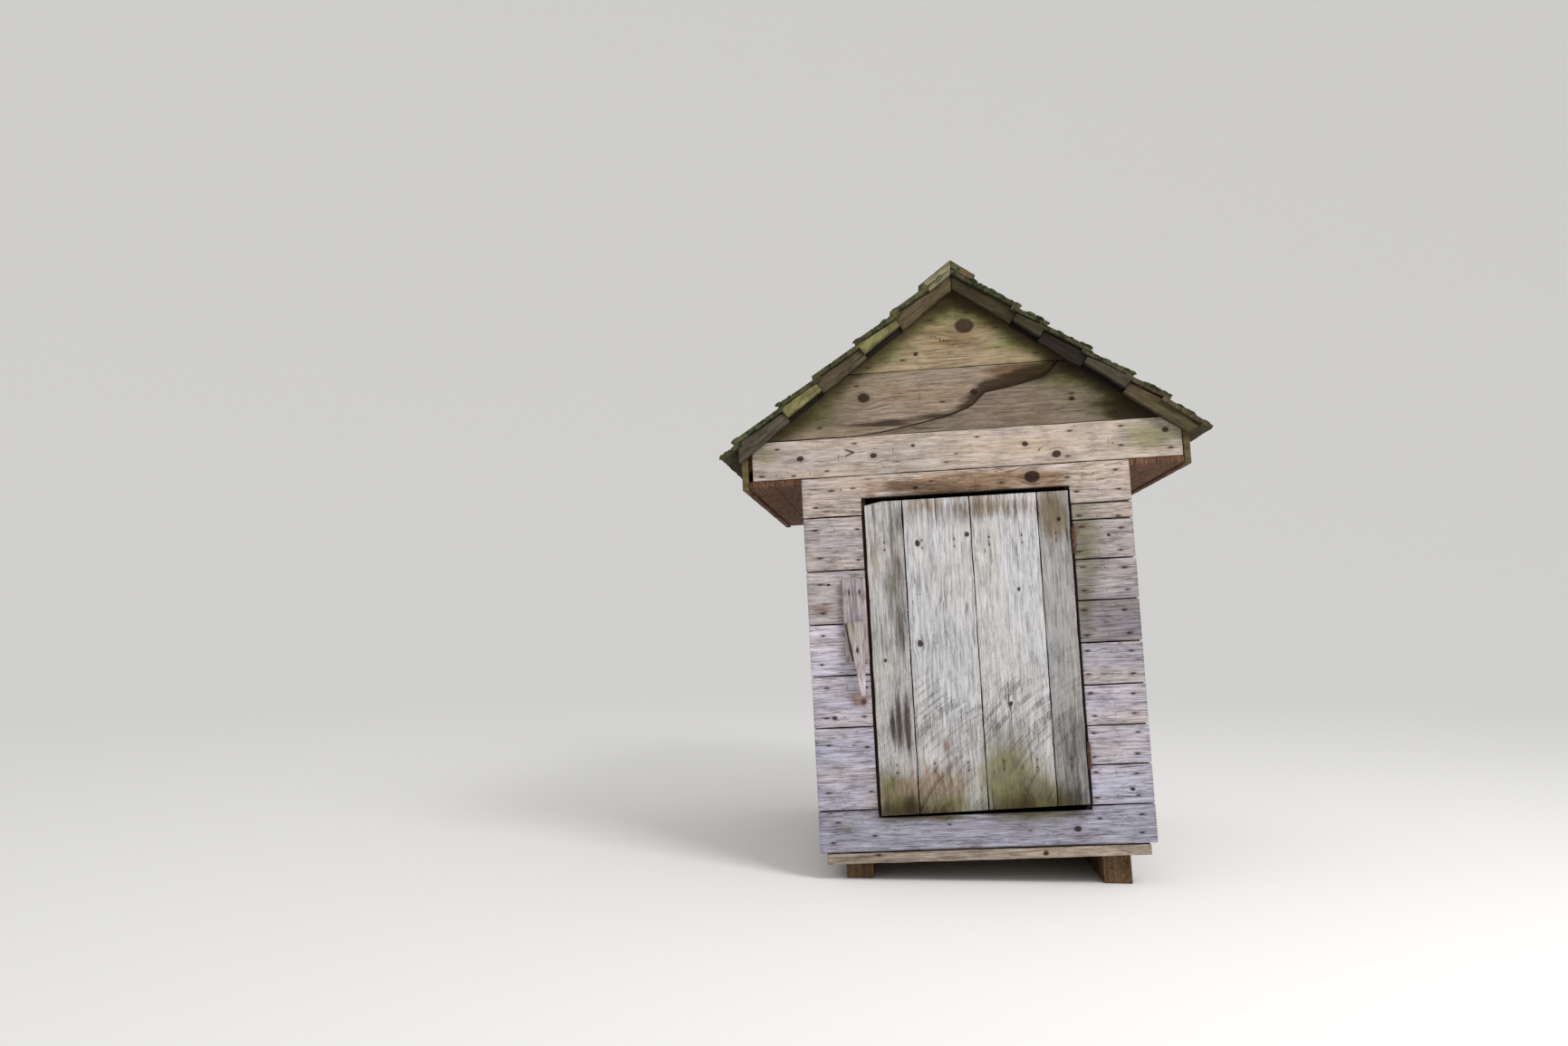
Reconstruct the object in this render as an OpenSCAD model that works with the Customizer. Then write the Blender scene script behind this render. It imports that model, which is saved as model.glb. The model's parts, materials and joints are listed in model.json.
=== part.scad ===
// Leaning plank outhouse: horizontal board walls, a ledged door that swings
// outward on butt hinges, a wooden turn-button, boxed eaves and a roof of
// lapped boards. Millimetres. The front faces -Y, +Z is up.
// The building is drawn square, then leaned as one piece; its bearers are cut
// level, so that it stands on flat ground at z = 0.

/* [Stance] */
// Lean of the whole building to the left, seen from the front, in degrees
lean = 2.9; // [0:0.1:5]
// Height of the left bearer at its outer edge, above the ground
left_bearer_h = 60; // [40:5:120]

/* [Walls] */
// Width across the front wall
wall_w = 1220; // [1150:10:1500]
// Depth from the front wall's face to the back wall's face
wall_d = 1750; // [1400:10:2200]
// Height from the lowest board's bottom edge to the frieze
wall_h = 1400; // [1360:5:1600]
// Thickness of every sawn board
board_t = 25; // [18:0.5:30]
// Height of the frieze board under each gable
frieze_h = 148; // [100:1:180]

/* [Frame] */
// Narrow side of the frame timbers
stud_t = 51; // [38:1:60]
// Wide side of the frame timbers
stud_w = 102; // [80:1:120]
// Height of the sill timbers that lie under the walls
sill_h = 40; // [30:1:60]
// How far the side sills stand in from the wall's edge
sill_inset = 24; // [15:1:40]
// How far the front and back sills stand back from the wall's face
sill_setback = 2; // [0:0.5:10]
// Width of the bearers under the sills
bearer_w = 100; // [70:5:140]
// Distance from the wall's side face to the bearer
bearer_inset = 90; // [60:5:200]
// Distance from the wall's face to the bearer's end
bearer_setback = 60; // [20:5:150]

/* [Doorway] */
// Width of the doorway
opening_w = 776; // [700:1:800]
// Height of the doorway's lower edge above the wall's bottom
opening_bottom = 124; // [90:1:140]
// Height of the wall over the doorway
header_h = 86; // [60:1:100]
// How far the jambs stand into the doorway as a door stop
stop_w = 15; // [8:1:20]

/* [Door] */
// Gap between the door's latch edge and the doorway
latch_gap = 9; // [6:0.5:12]
// Gap between the door's hinge edge and the doorway
hinge_gap = 7; // [6:0.5:9]
// Gap between the door's top edge and the doorway
top_gap = 19; // [6:1:25]
// Gap under the door's latch corner
latch_corner_gap = 7; // [5:1:15]
// How much higher the worn bottom edge is at the hinge side
bottom_rise = 16; // [0:1:30]
// Width of the clipped corner at the top of the latch edge
clip_w = 68; // [20:1:100]
// Height of the clipped corner
clip_h = 13; // [5:1:30]
// How far the door's face stands in front of the wall
door_proud = 5; // [5:0.5:8]
// Height of the ledges across the door's back
ledge_h = 100; // [70:1:140]
// Thickness of the ledges
ledge_t = 22; // [18:1:30]
// Distance from the door's side edges to the ledge ends
ledge_inset = 38; // [30:1:60]
// Distance from the door's top, and from its latch corner, to the ledge
ledge_end = 120; // [60:1:200]

/* [Hinges] */
// Height of each butt hinge
hinge_h = 95; // [76:1:110]
// Distance from the door's top edge to the upper hinge
hinge_end = 141; // [100:1:250]
// Outer radius of the knuckles
knuckle_r = 6; // [5.5:0.25:6.5]
// Radius of the hinge pin
pin_r = 3; // [2:0.25:3.5]
// Radial clearance of each pin in its bore
pin_clearance = 0.05; // [0.02:0.01:0.1]
// Thickness of the hinge leaves
leaf_t = 2; // [1.5:0.1:2.5]
// How far the leaves reach into the doorway
leaf_d = 18; // [12:1:20]
// Number of knuckles on each hinge
knuckles = 5; // [3:2:5]
// Gap between neighbouring knuckles
knuckle_gap = 0.5; // [0.3:0.1:1]

/* [Turn-button] */
// Distance from the doorway's edge to the nail that the button turns on
nail_x = 43; // [40:1:60]
// Height of that nail above the doorway's lower edge
nail_up = 619; // [500:1:800]
// Length of the button above the nail
button_up = 106; // [60:1:140]
// Length of the button below the nail
button_down = 172; // [100:1:200]
// Width of the button at its upper end
button_wide = 68; // [40:1:74]
// Width of the button at its tip
button_tip = 14; // [10:1:30]
// How far the button's upper end lies to the left of the nail's line
button_shift = 3; // [-5:0.5:8]
// How far the button's tip lies to the right of the nail's line
tip_shift = 14; // [-10:1:20]
// Thickness of the button
button_t = 18; // [12:1:20]
// Gap between the button and the block behind it
button_gap = 0.5; // [0.3:0.1:1]
// Radius of the nail's shank
nail_r = 2.5; // [2:0.25:3]
// Radius of the nail's head
nail_head_r = 5; // [4:0.5:7]
// Thickness of the nail's head
nail_head_t = 2; // [1:0.5:3]
// Width of the block that the button is nailed to
block_w = 88; // [80:1:95]
// Height of the block
block_h = 307; // [250:1:340]
// Distance from the nail down to the block's lower end
block_down = 40; // [20:1:60]
// Thickness of the block
block_t = 22; // [18:1:24]
// Gap between the block and the doorway's edge
block_edge = 1; // [0.5:0.5:5]

/* [Roof] */
// Slope of the roof, in degrees
pitch = 36; // [32:0.5:40]
// Gap between the roof boards and the sloping edges that carry them
roof_gap = 0.1; // [0.05:0.05:0.5]
// Height of the gable at its right end, over the frieze
heel_h = 3; // [1:1:60]
// Reach of the roof past the fascias
drip = 67; // [45:1:120]
// Reach of the roof past the gable faces
verge = 45; // [44:1:80]
// Thickness of the roof boards
roof_t = 19; // [16:1:26]
// Length of each roof board that shows below the one that laps it
course = 175; // [150:1:230]
// Width of the left board along the ridge
left_ridge_board_w = 124; // [90:1:150]
// Width of the right board along the ridge
right_ridge_board_w = 80; // [60:1:150]
// Width of the rake boards, square to the slope
rake_w = 46; // [40:1:75]
// Reach of the left rake board past the fascia
left_rake_reach = 5; // [0:1:40]
// Reach of the right rake board past the fascia
right_rake_reach = 39; // [0:1:40]
// How far the right rake board's end is cut back along its lower edge
rake_cut = 49; // [0:1:60]
// Gap where two rake boards or two rafters meet at the ridge
butt_gap = 1; // [0.5:0.5:3]
// Depth of the rafters, square to the slope
rafter_h = 89; // [70:1:102]
// Thickness of the rafters
rafter_t = 38; // [30:1:51]
// Width of the level seat that each rafter has on its plate
seat_w = 36; // [20:1:45]
// Gap between the side walls' top edges and the rafters
side_wall_gap = 1; // [0.5:0.5:5]

/* [Eaves] */
// Width of each soffit, from the side wall to the fascia
soffit_w = 201; // [150:1:220]
// How far the fascia's lower edge hangs under the soffit
fascia_drop = 7; // [0:1:15]
// Gap between the frieze's left end and the fascia
left_frieze_gap = 17; // [1:1:25]
// Gap between the frieze's right end and the fascia
right_frieze_gap = 3; // [1:1:10]

/* [Hidden] */

$fn = 48;
wall_x = wall_w / 2;
inner_x = wall_x - board_t;
opening_x = opening_w / 2;
opening_top = wall_h - header_h;
fascia_x = wall_x + soffit_w;
frieze_left_x = left_frieze_gap - fascia_x;
frieze_right_x = fascia_x - right_frieze_gap;
eave_x = fascia_x + board_t + drip;
soffit_z = wall_h - board_t;
ridge_z = wall_h + frieze_h + heel_h + frieze_right_x * tan(pitch);
slope_l = eave_x / cos(pitch);

// Height of the sloping edges that carry the roof, at x from the ridge, or of
// a line h below them.
function slope_z(x, h = 0) = ridge_z - h / cos(pitch) - x * tan(pitch);

// Points on the right-hand slope of the roof: s runs down it from the ridge,
// h stands up from the underside of the roof boards.
function on_slope(s, h) = [
    s * cos(pitch) + (h + roof_gap) * sin(pitch),
    ridge_z - s * sin(pitch) + (h + roof_gap) * cos(pitch)
];
function at_ridge(h) = [0, ridge_z + (h + roof_gap) / cos(pitch)];

// Steps where one roof board laps the next, counted down from a ridge board of
// width w. The lowest board lies flat.
function steps(w) = [for (s = w + course; s < slope_l - roof_t; s = s + course) s];

// Rafters sit on the plates by a level seat.
plate_x = inner_x - stud_t;
plate_top = slope_z(inner_x - seat_w, rafter_h);
plate_z = plate_top - stud_t;
side_wall_top = slope_z(wall_x, rafter_h) - side_wall_gap;
floor_top = board_t;

// Where the leaned building lies over the ground.
tip = on_slope(slope_l, roof_t);
bearer_x = wall_x - bearer_inset;
shift_x = tip[1] * sin(lean);
shift_z = bearer_x * sin(lean) + (sill_h + left_bearer_h) * cos(lean);

// Door and hinge places.
door_latch_x = -opening_x + latch_gap;
door_hinge_x = opening_x - hinge_gap;
door_top = opening_top - top_gap;
door_latch_z = opening_bottom + latch_corner_gap;
door_hinge_z = door_latch_z + bottom_rise;
pin_x = opening_x;
pin_y = -1 - knuckle_r;
knuckle_h = hinge_h / knuckles;
hinge_zs = [door_latch_z + hinge_end, door_top - hinge_end - hinge_h];
ledge_zs = [door_latch_z + ledge_end, door_top - ledge_end - ledge_h];
button_x = -opening_x - nail_x;
nail_z = opening_bottom + nail_up;
block_z = nail_z - block_down;
button_y = -block_t - button_gap - button_t;

module leaned() {
    translate([shift_x, -wall_d / 2, shift_z])
        rotate([0, -lean, 0])
            children();
}

// A profile drawn in X and Z, as seen from the front, given a depth along Y.
module slab(y, depth) {
    translate([0, y + depth, 0])
        rotate([90, 0, 0])
            linear_extrude(depth)
                children();
}

module block(low, high) {
    translate(low)
        cube(high - low);
}

// Walls
module front_panel(x0, x1, z0, z1) {
    leaned() block([x0, 0, z0], [x1, board_t, z1]);
}

module front_wall_left() color("#a49c96") front_panel(-wall_x, -opening_x, 0, wall_h);
module front_wall_right() color("#a49c96") front_panel(opening_x, wall_x, 0, wall_h);
module front_wall_over_door() color("#a49c96") front_panel(-opening_x, opening_x, opening_top, wall_h);
module front_wall_under_door() color("#a49c96") front_panel(-opening_x, opening_x, 0, opening_bottom);

module back_wall() color("#a49c96")
    leaned() block([-wall_x, wall_d - board_t, 0], [wall_x, wall_d, wall_h]);

module side_wall(side) {
    leaned()
        translate([side * (wall_x - board_t / 2) - board_t / 2, board_t, 0])
            cube([board_t, wall_d - 2 * board_t, side_wall_top]);
}

module left_wall() color("#a49c96") side_wall(-1);
module right_wall() color("#a49c96") side_wall(1);

module frieze(y) {
    leaned() block([frieze_left_x, y, wall_h], [frieze_right_x, y + board_t, wall_h + frieze_h]);
}

module front_frieze() color("#c2bbb0") frieze(0);
module back_frieze() color("#c2bbb0") frieze(wall_d - board_t);

module gable(y) {
    base = wall_h + frieze_h;
    leaned()
        slab(y, board_t)
            polygon([[frieze_left_x, base], [frieze_right_x, base],
                [frieze_right_x, slope_z(frieze_right_x)], [0, ridge_z],
                [frieze_left_x, slope_z(-frieze_left_x)]]);
}

module front_gable() color("#8d7c5e") gable(0);
module back_gable() color("#8d7c5e") gable(wall_d - board_t);

// Floor and base
module floor() color("#7d6d5c")
    leaned() block([-inner_x, board_t, 0], [inner_x, wall_d - board_t, floor_top]);

module end_sill(y) {
    x = wall_x - sill_inset;
    leaned() block([-x, y, -sill_h], [x, y + stud_w, 0]);
}

module front_sill() color("#93866f") end_sill(sill_setback);
module back_sill() color("#93866f") end_sill(wall_d - sill_setback - stud_w);

module side_sills() color("#93866f") {
    y = sill_setback + stud_w;
    for (side = [-1, 1])
        leaned()
            translate([side * (wall_x - sill_inset - stud_w / 2) - stud_w / 2, y, -sill_h])
                cube([stud_w, wall_d - 2 * y, sill_h]);
}

// Each bearer's underside is cut along the ground, level when the building leans.
module bearer(outer, inner) {
    ground = function(x) (-shift_z - x * sin(lean)) / cos(lean);
    leaned()
        slab(bearer_setback, wall_d - 2 * bearer_setback)
            polygon([[outer, ground(outer)], [outer, -sill_h], [inner, -sill_h], [inner, ground(inner)]]);
}

module left_bearer() color("#6b5d4c") bearer(-bearer_x, -bearer_x + bearer_w);
module right_bearer() color("#6b5d4c") bearer(bearer_x, bearer_x - bearer_w);

// Frame timbers
module posts(y) {
    for (side = [-1, 1])
        leaned()
            translate([side * (inner_x - stud_t / 2) - stud_t / 2, y, floor_top])
                cube([stud_t, stud_w, plate_z - floor_top]);
}

module front_posts() color("#86745e") posts(board_t);
module back_posts() color("#86745e") posts(wall_d - board_t - stud_w);

module wall_studs() color("#86745e") {
    y = (wall_d - stud_t) / 2;
    leaned() {
        for (side = [-1, 1])
            translate([side * (inner_x - stud_t / 2) - stud_t / 2, y, floor_top])
                cube([stud_t, stud_t, plate_z - floor_top]);
        translate([-stud_w / 2, wall_d - board_t - stud_t, floor_top])
            cube([stud_w, stud_t, wall_h + frieze_h - floor_top]);
    }
}

module door_jambs() color("#7a6a55") {
    for (side = [-1, 1])
        leaned()
            translate([side * (opening_x - stop_w + stud_t / 2) - stud_t / 2, board_t, floor_top])
                cube([stud_t, stud_w, wall_h - floor_top]);
}

module door_lintel() color("#7a6a55") {
    x = opening_x - stop_w;
    leaned() block([-x, board_t, opening_top], [x, board_t + stud_t, wall_h]);
}

module plate(side) {
    leaned()
        translate([side * (inner_x - stud_t / 2) - stud_t / 2, board_t, plate_z])
            cube([stud_t, wall_d - 2 * board_t, stud_t]);
}

module left_plate() color("#86745e") plate(-1);
module right_plate() color("#86745e") plate(1);

// One pair of rafters, with plumb cuts at the ridge and the fascias and a
// notch that seats each rafter on its plate.
module rafter_pair(y) {
    half_gap = butt_gap / 2;
    leaned()
        slab(y, rafter_t)
            for (side = [0, 1])
                mirror([side, 0])
                    polygon([
                        [half_gap, slope_z(half_gap)],
                        [fascia_x, slope_z(fascia_x)],
                        [fascia_x, slope_z(fascia_x, rafter_h)],
                        [inner_x, slope_z(inner_x, rafter_h)],
                        [inner_x, plate_top],
                        [inner_x - seat_w, plate_top],
                        [half_gap, slope_z(half_gap, rafter_h)]
                    ]);
}

module front_rafters() color("#86745e") rafter_pair(board_t);
module middle_rafters() color("#86745e") rafter_pair((wall_d - rafter_t) / 2);
module back_rafters() color("#86745e") rafter_pair(wall_d - board_t - rafter_t);

// Roof
// The courses rise from one board's thickness to two where each laps the next.
module roof_profile(ridge_board_w) {
    polygon(concat(
        [at_ridge(0), at_ridge(roof_t), on_slope(ridge_board_w, roof_t)],
        [for (s = steps(ridge_board_w)) each [on_slope(s, 2 * roof_t), on_slope(s, roof_t)]],
        [on_slope(slope_l, roof_t), on_slope(slope_l, 0)]
    ));
}

module ridge_profile(ridge_board_w) {
    top = roof_t + board_t;
    polygon([at_ridge(roof_t), at_ridge(top),
        on_slope(ridge_board_w, top), on_slope(ridge_board_w, roof_t)]);
}

module roof_run() {
    leaned()
        slab(-verge, wall_d + 2 * verge)
            children();
}

module left_roof() color("#5d6149") roof_run() mirror([1, 0]) roof_profile(left_ridge_board_w);
module right_roof() color("#5d6149") roof_run() roof_profile(right_ridge_board_w);
module left_ridge_board() color("#6a6f55") roof_run() mirror([1, 0]) ridge_profile(left_ridge_board_w);
module right_ridge_board() color("#6a6f55") roof_run() ridge_profile(right_ridge_board_w);

// Rake boards lie on the gable under the ends of the roof boards.
module rake_profile(reach, cut) {
    half_gap = butt_gap / 2;
    end = fascia_x + board_t + reach;
    polygon([
        [half_gap, slope_z(half_gap)],
        [end, slope_z(end)],
        [end - cut, slope_z(end - cut, rake_w)],
        [half_gap, slope_z(half_gap, rake_w)]
    ]);
}

module rake_pair(y) {
    leaned()
        slab(y, board_t) {
            rake_profile(right_rake_reach, rake_cut);
            mirror([1, 0]) rake_profile(left_rake_reach, 0);
        }
}

module front_rake_boards() color("#4d443a") rake_pair(-board_t);
module back_rake_boards() color("#4d443a") rake_pair(wall_d);

// Eaves
module fascia(side) {
    low = soffit_z - fascia_drop;
    leaned()
        slab(0, wall_d)
            mirror([side, 0])
                polygon([
                    [fascia_x, low], [fascia_x + board_t, low],
                    [fascia_x + board_t, slope_z(fascia_x + board_t)],
                    [fascia_x, slope_z(fascia_x)]
                ]);
}

module left_fascia() color("#6e6250") fascia(1);
module right_fascia() color("#6e6250") fascia(0);

module soffit(side) {
    leaned()
        translate([side * (wall_x + soffit_w / 2) - soffit_w / 2, 0, soffit_z])
            cube([soffit_w, wall_d, board_t]);
}

module left_soffit() color("#4f3b2e") soffit(-1);
module right_soffit() color("#4f3b2e") soffit(1);

// Door: square on its hinge edge, clipped at the top of its latch edge and
// worn along its bottom.
module door() color("#aaa59e") {
    leaned()
        slab(-door_proud, board_t)
            polygon([
                [door_latch_x, door_latch_z], [door_hinge_x, door_hinge_z],
                [door_hinge_x, door_top], [door_latch_x + clip_w, door_top],
                [door_latch_x, door_top - clip_h]
            ]);
}

module door_ledges() color("#8f8778") {
    y = board_t - door_proud;
    for (z = ledge_zs)
        leaned() block([door_latch_x + ledge_inset, y, z], [door_hinge_x - ledge_inset, y + ledge_t, z + ledge_h]);
}

// One hinge leaf: a plate on the board's edge, and the knuckles from the
// first one on that it shares with the other leaf.
module leaf(first, plate_x0, z) {
    translate([0, 0, z])
        difference() {
            union() {
                block([plate_x0, 0, 0], [plate_x0 + leaf_t, leaf_d, hinge_h]);
                for (k = [first:2:knuckles - 1])
                    translate([0, 0, k * knuckle_h + knuckle_gap / 2])
                        knuckle(plate_x0, knuckle_h - knuckle_gap);
            }
            translate([pin_x, pin_y, -1])
                cylinder(h = hinge_h + 2, r = pin_r + pin_clearance);
        }
}

module knuckle(plate_x0, height) {
    translate([pin_x, pin_y, 0])
        cylinder(h = height, r = knuckle_r);
    block([plate_x0, pin_y - leaf_t, 0], [pin_x, pin_y + leaf_t, height]);
    block([plate_x0, pin_y, 0], [plate_x0 + leaf_t, leaf_d, height]);
}

module frame_hinge_leaves() color("#6b4028") {
    for (z = hinge_zs)
        leaned() leaf(0, opening_x - leaf_t, z);
}

module door_hinge_leaves() color("#6b4028") {
    for (z = hinge_zs)
        leaned() leaf(1, door_hinge_x, z);
}

module hinge_pins() color("#55331f") {
    for (z = hinge_zs)
        leaned()
            translate([pin_x, pin_y, z]) {
                cylinder(h = hinge_h, r = pin_r);
                translate([0, 0, hinge_h])
                    cylinder(h = leaf_t, r = knuckle_r);
            }
}

// Turn-button, the block it is nailed to, and its nail
module latch_block() color("#b0a89d") {
    right = -opening_x - block_edge;
    leaned()
        difference() {
            block([right - block_w, -block_t, block_z], [right, 0, block_z + block_h]);
            nail_hole(0);
        }
}

module nail_hole(clearance) {
    translate([button_x, 1, nail_z])
        rotate([90, 0, 0])
            cylinder(h = 2 - button_y, r = nail_r + clearance);
}

module turn_button() color("#9b9186") {
    leaned()
        difference() {
            slab(button_y, button_t)
                polygon([
                    [button_x + tip_shift - button_tip / 2, nail_z - button_down],
                    [button_x + tip_shift + button_tip / 2, nail_z - button_down],
                    [button_x + button_wide / 2 - button_shift, nail_z + button_up],
                    [button_x - button_wide / 2 - button_shift, nail_z + button_up]
                ]);
            nail_hole(pin_clearance);
        }
}

module latch_nail() color("#3b2a20") {
    leaned()
        translate([button_x, 0, nail_z])
            rotate([90, 0, 0]) {
                cylinder(h = -button_y + button_gap, r = nail_r);
                translate([0, 0, -button_y + button_gap])
                    cylinder(h = nail_head_t, r = nail_head_r);
            }
}

front_wall_left();
front_wall_right();
front_wall_over_door();
front_wall_under_door();
front_frieze();
front_gable();
back_wall();
back_frieze();
back_gable();
left_wall();
right_wall();
floor();
front_sill();
back_sill();
side_sills();
left_bearer();
right_bearer();
front_posts();
back_posts();
wall_studs();
door_jambs();
door_lintel();
left_plate();
right_plate();
front_rafters();
middle_rafters();
back_rafters();
left_roof();
right_roof();
left_ridge_board();
right_ridge_board();
front_rake_boards();
back_rake_boards();
left_fascia();
right_fascia();
left_soffit();
right_soffit();
latch_block();
latch_nail();
turn_button();
door();
door_ledges();
door_hinge_leaves();
frame_hinge_leaves();
hinge_pins();
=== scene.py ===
# %% [markdown]
# # A leaning plank outhouse
# The imported frame brings every timber of the building as a plain solid, in metres. This lesson dresses it:
# the walls, gables, roof and door become separate sawn boards with worn edges, and each finish is a
# procedural material. The frame is loaded first, and its box is kept and printed.

import json
import math
import random
from types import SimpleNamespace

import bmesh
import bpy
from mathutils import Matrix, Vector, noise

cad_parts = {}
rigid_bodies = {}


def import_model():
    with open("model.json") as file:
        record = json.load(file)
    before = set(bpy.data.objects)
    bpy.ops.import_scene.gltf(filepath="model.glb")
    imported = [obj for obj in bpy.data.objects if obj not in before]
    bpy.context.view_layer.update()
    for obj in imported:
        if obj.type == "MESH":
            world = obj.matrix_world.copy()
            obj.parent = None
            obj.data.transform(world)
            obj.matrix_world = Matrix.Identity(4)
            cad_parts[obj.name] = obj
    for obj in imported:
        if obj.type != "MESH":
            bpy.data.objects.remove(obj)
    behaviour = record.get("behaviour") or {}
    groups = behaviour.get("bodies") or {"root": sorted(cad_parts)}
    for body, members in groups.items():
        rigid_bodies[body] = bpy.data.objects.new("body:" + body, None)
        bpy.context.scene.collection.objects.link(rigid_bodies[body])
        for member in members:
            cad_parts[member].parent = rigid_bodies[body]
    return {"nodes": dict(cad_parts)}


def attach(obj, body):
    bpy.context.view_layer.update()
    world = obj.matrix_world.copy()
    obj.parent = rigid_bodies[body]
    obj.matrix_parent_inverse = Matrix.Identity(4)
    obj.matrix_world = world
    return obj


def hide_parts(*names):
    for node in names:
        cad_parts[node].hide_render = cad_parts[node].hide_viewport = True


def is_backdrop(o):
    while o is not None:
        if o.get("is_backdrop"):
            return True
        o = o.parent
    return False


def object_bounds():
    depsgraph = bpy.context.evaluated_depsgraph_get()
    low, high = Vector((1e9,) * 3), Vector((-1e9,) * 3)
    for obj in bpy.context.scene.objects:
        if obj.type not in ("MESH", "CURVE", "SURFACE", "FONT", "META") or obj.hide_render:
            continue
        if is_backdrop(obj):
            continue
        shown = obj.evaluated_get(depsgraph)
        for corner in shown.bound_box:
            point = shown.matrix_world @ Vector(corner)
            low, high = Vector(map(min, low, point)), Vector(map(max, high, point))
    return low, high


for leftover in list(bpy.data.objects):
    bpy.data.objects.remove(leftover)
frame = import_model()
cad_low, cad_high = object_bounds()
print("solids:", len(frame["nodes"]), "box:", [round(v, 4) for v in (*cad_low, *cad_high)])

# %% [markdown]
# The building was drawn square and then leaned as one piece. The boards are laid out in the same square
# drawing, in millimetres, where x runs to the right along the front wall, y runs back from its face, and z
# runs up from its lowest board. One matrix then leans them, shrinks them to metres and puts them where the
# solids are.

# %% Sizes of the square building
LEAN = math.radians(2.9)
PITCH = math.radians(36)
WALL_X = 610
WALL_D = 1750
WALL_TOP = 1400
BOARD_T = 25
FRIEZE_TOP = 1548
FRIEZE_LEFT, FRIEZE_RIGHT = -794, 808
OPENING_X = 388
OPENING_TOP = 1314
RIDGE_Z = 2138.05
ROOF_T = 19
SLOPE_L = 1116.2
VERGE = 45
FASCIA_X = 811
SOFFIT_Z = 1375
STAND = Matrix.Translation((0.075759, -0.875, 0.126180))
LEANED = STAND @ Matrix.Rotation(-LEAN, 4, "Y") @ Matrix.Scale(0.001, 4)
print("ridge over the floor, metres:", round((LEANED @ Vector((0, 0, RIDGE_Z))).z, 3))

# %% [markdown]
# A board has to know which way its grain runs, which way its width lies and which way goes into the wall.
# These directions follow the axes and the two slopes of the roof. A place joins three of them with a
# corner.

# %% Directions and places
X = Vector((1, 0, 0))
Y = Vector((0, 1, 0))
Z = Vector((0, 0, 1))
DOWN_RIGHT = Vector((math.cos(PITCH), 0, -math.sin(PITCH)))
DOWN_LEFT = Vector((-math.cos(PITCH), 0, -math.sin(PITCH)))
OUT_RIGHT = Vector((math.sin(PITCH), 0, math.cos(PITCH)))
OUT_LEFT = Vector((-math.sin(PITCH), 0, math.cos(PITCH)))


def slope_z(x):
    """Height of the sloping edge that carries the roof."""
    return RIDGE_Z - abs(x) * math.tan(PITCH)


def setting(origin, along, across, inward):
    """A place for boards: the grain runs along, the width lies across, and the thickness goes inward."""
    place = Matrix((along, across, inward)).transposed().to_4x4()
    place.translation = origin
    return place


FRONT = setting((0, 0, 0), X, Z, Y)
BACK = setting((0, WALL_D, 0), -X, Z, -Y)
UPRIGHT = setting((0, 0, 0), Z, X, Y)
print("height of the slope over the wall's corner:", round(slope_z(WALL_X)))

# %% [markdown]
# A wall is many boards in one mesh. They are gathered in a stock of points and faces, and each point also
# keeps what the finish needs to know: its place in the grain, how far it is from the nearest knot and nail,
# how light and warm its board is, and how much stain and painted shade it has there.

# %% A stock of boards
KEPT = ("grain", "board", "stain", "knot", "nail")


def new_stock():
    return {key: [] for key in ("points", "faces", "flat", *KEPT)}


def nearest(spots, u, v):
    """The offset from the nearest spot, in metres, with the spot's own size."""
    if not spots:
        return (0, 0, 0)
    su, sv, size = min(spots, key=lambda s: (u - s[0]) ** 2 * 0.3 + (v - s[1]) ** 2)
    return ((u - su) / 1000, (v - sv) / 1000, size)


def wobble(u, v, seed):
    return noise.noise(Vector((u, v, seed * 7.31)))


def no_stain(point):
    return (0, 0, 0, 0)


print("each point of a board keeps its:", ", ".join(KEPT))

# %% [markdown]
# A board is drawn as a row of outlines across its grain. They stand closer together where the width steps
# and at the ends, where the edges are rounded. Across the face, the points make way for the seasoning
# checks, so that each check has two lips and a bottom of its own and is a real groove.

# %% Where the points of a board go
SHOULDER = 0.3


def stations_along(ends, edge, step, wanted):
    """Where the outlines stand, and how far each is drawn in to round the board's ends."""
    start, stop = ends
    spans = max(2, round((stop - start) / step))
    inner = [start + edge + (stop - start - 2 * edge) * i / spans for i in range(spans + 1)]
    inner += [u for u in wanted if start + edge < u < stop - edge]
    first = [(start, edge), (start + SHOULDER * edge, SHOULDER * edge)]
    last = [(stop - SHOULDER * edge, SHOULDER * edge), (stop, edge)]
    return first + [(u, 0) for u in sorted(set(inner))] + last


def lanes_across(room, widest, lane, grooves):
    """The shares of the width where the points of an outline lie."""
    lanes = max(2, round(widest / lane))
    shares = [j / lanes for j in range(lanes + 1)]
    for centre, _, _, width, _ in grooves:
        shares = [s for s in shares if abs(s - centre) * room > width * 1.6]
        shares += [centre - width / 2 / room, centre, centre + width / 2 / room]
    return sorted(s for s in shares if 0 <= s <= 1)


def check_opening(u, start, edge, c0, c1):
    """How far a check has opened: most at the end of the board that it runs out of."""
    length = max(c1 - c0, 1)
    share = 1 - abs((u - start) / length) if c0 <= start + edge else (u - c0) / length
    return min(max(share, 0.25), 1)


print("stations on a board of a metre:", len(stations_along((0, 1000), 2.5, 22, ())))

# %% [markdown]
# Joining the outlines gives the board's four long sides, and a face closes each end. The long sides are
# shaded smooth, so the worn edges look round, and the sawn ends are flat.

# %% Faces of a board
def close_board(stock, first, count, ring, flip):
    """Joins the outlines of one board with faces, and closes both ends."""
    sides = []
    for i in range(count - 1):
        for j in range(ring):
            a = first + i * ring + j
            b = first + i * ring + (j + 1) % ring
            sides.append((a, a + ring, b + ring, b))
    last = first + (count - 1) * ring
    ends = [list(range(first, first + ring)), list(range(last, last + ring))[::-1]]
    for faces, flat in ((sides, False), (ends, True)):
        stock["faces"] += [face[::-1] if flip else face for face in faces]
        stock["flat"] += [flat] * len(faces)


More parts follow.
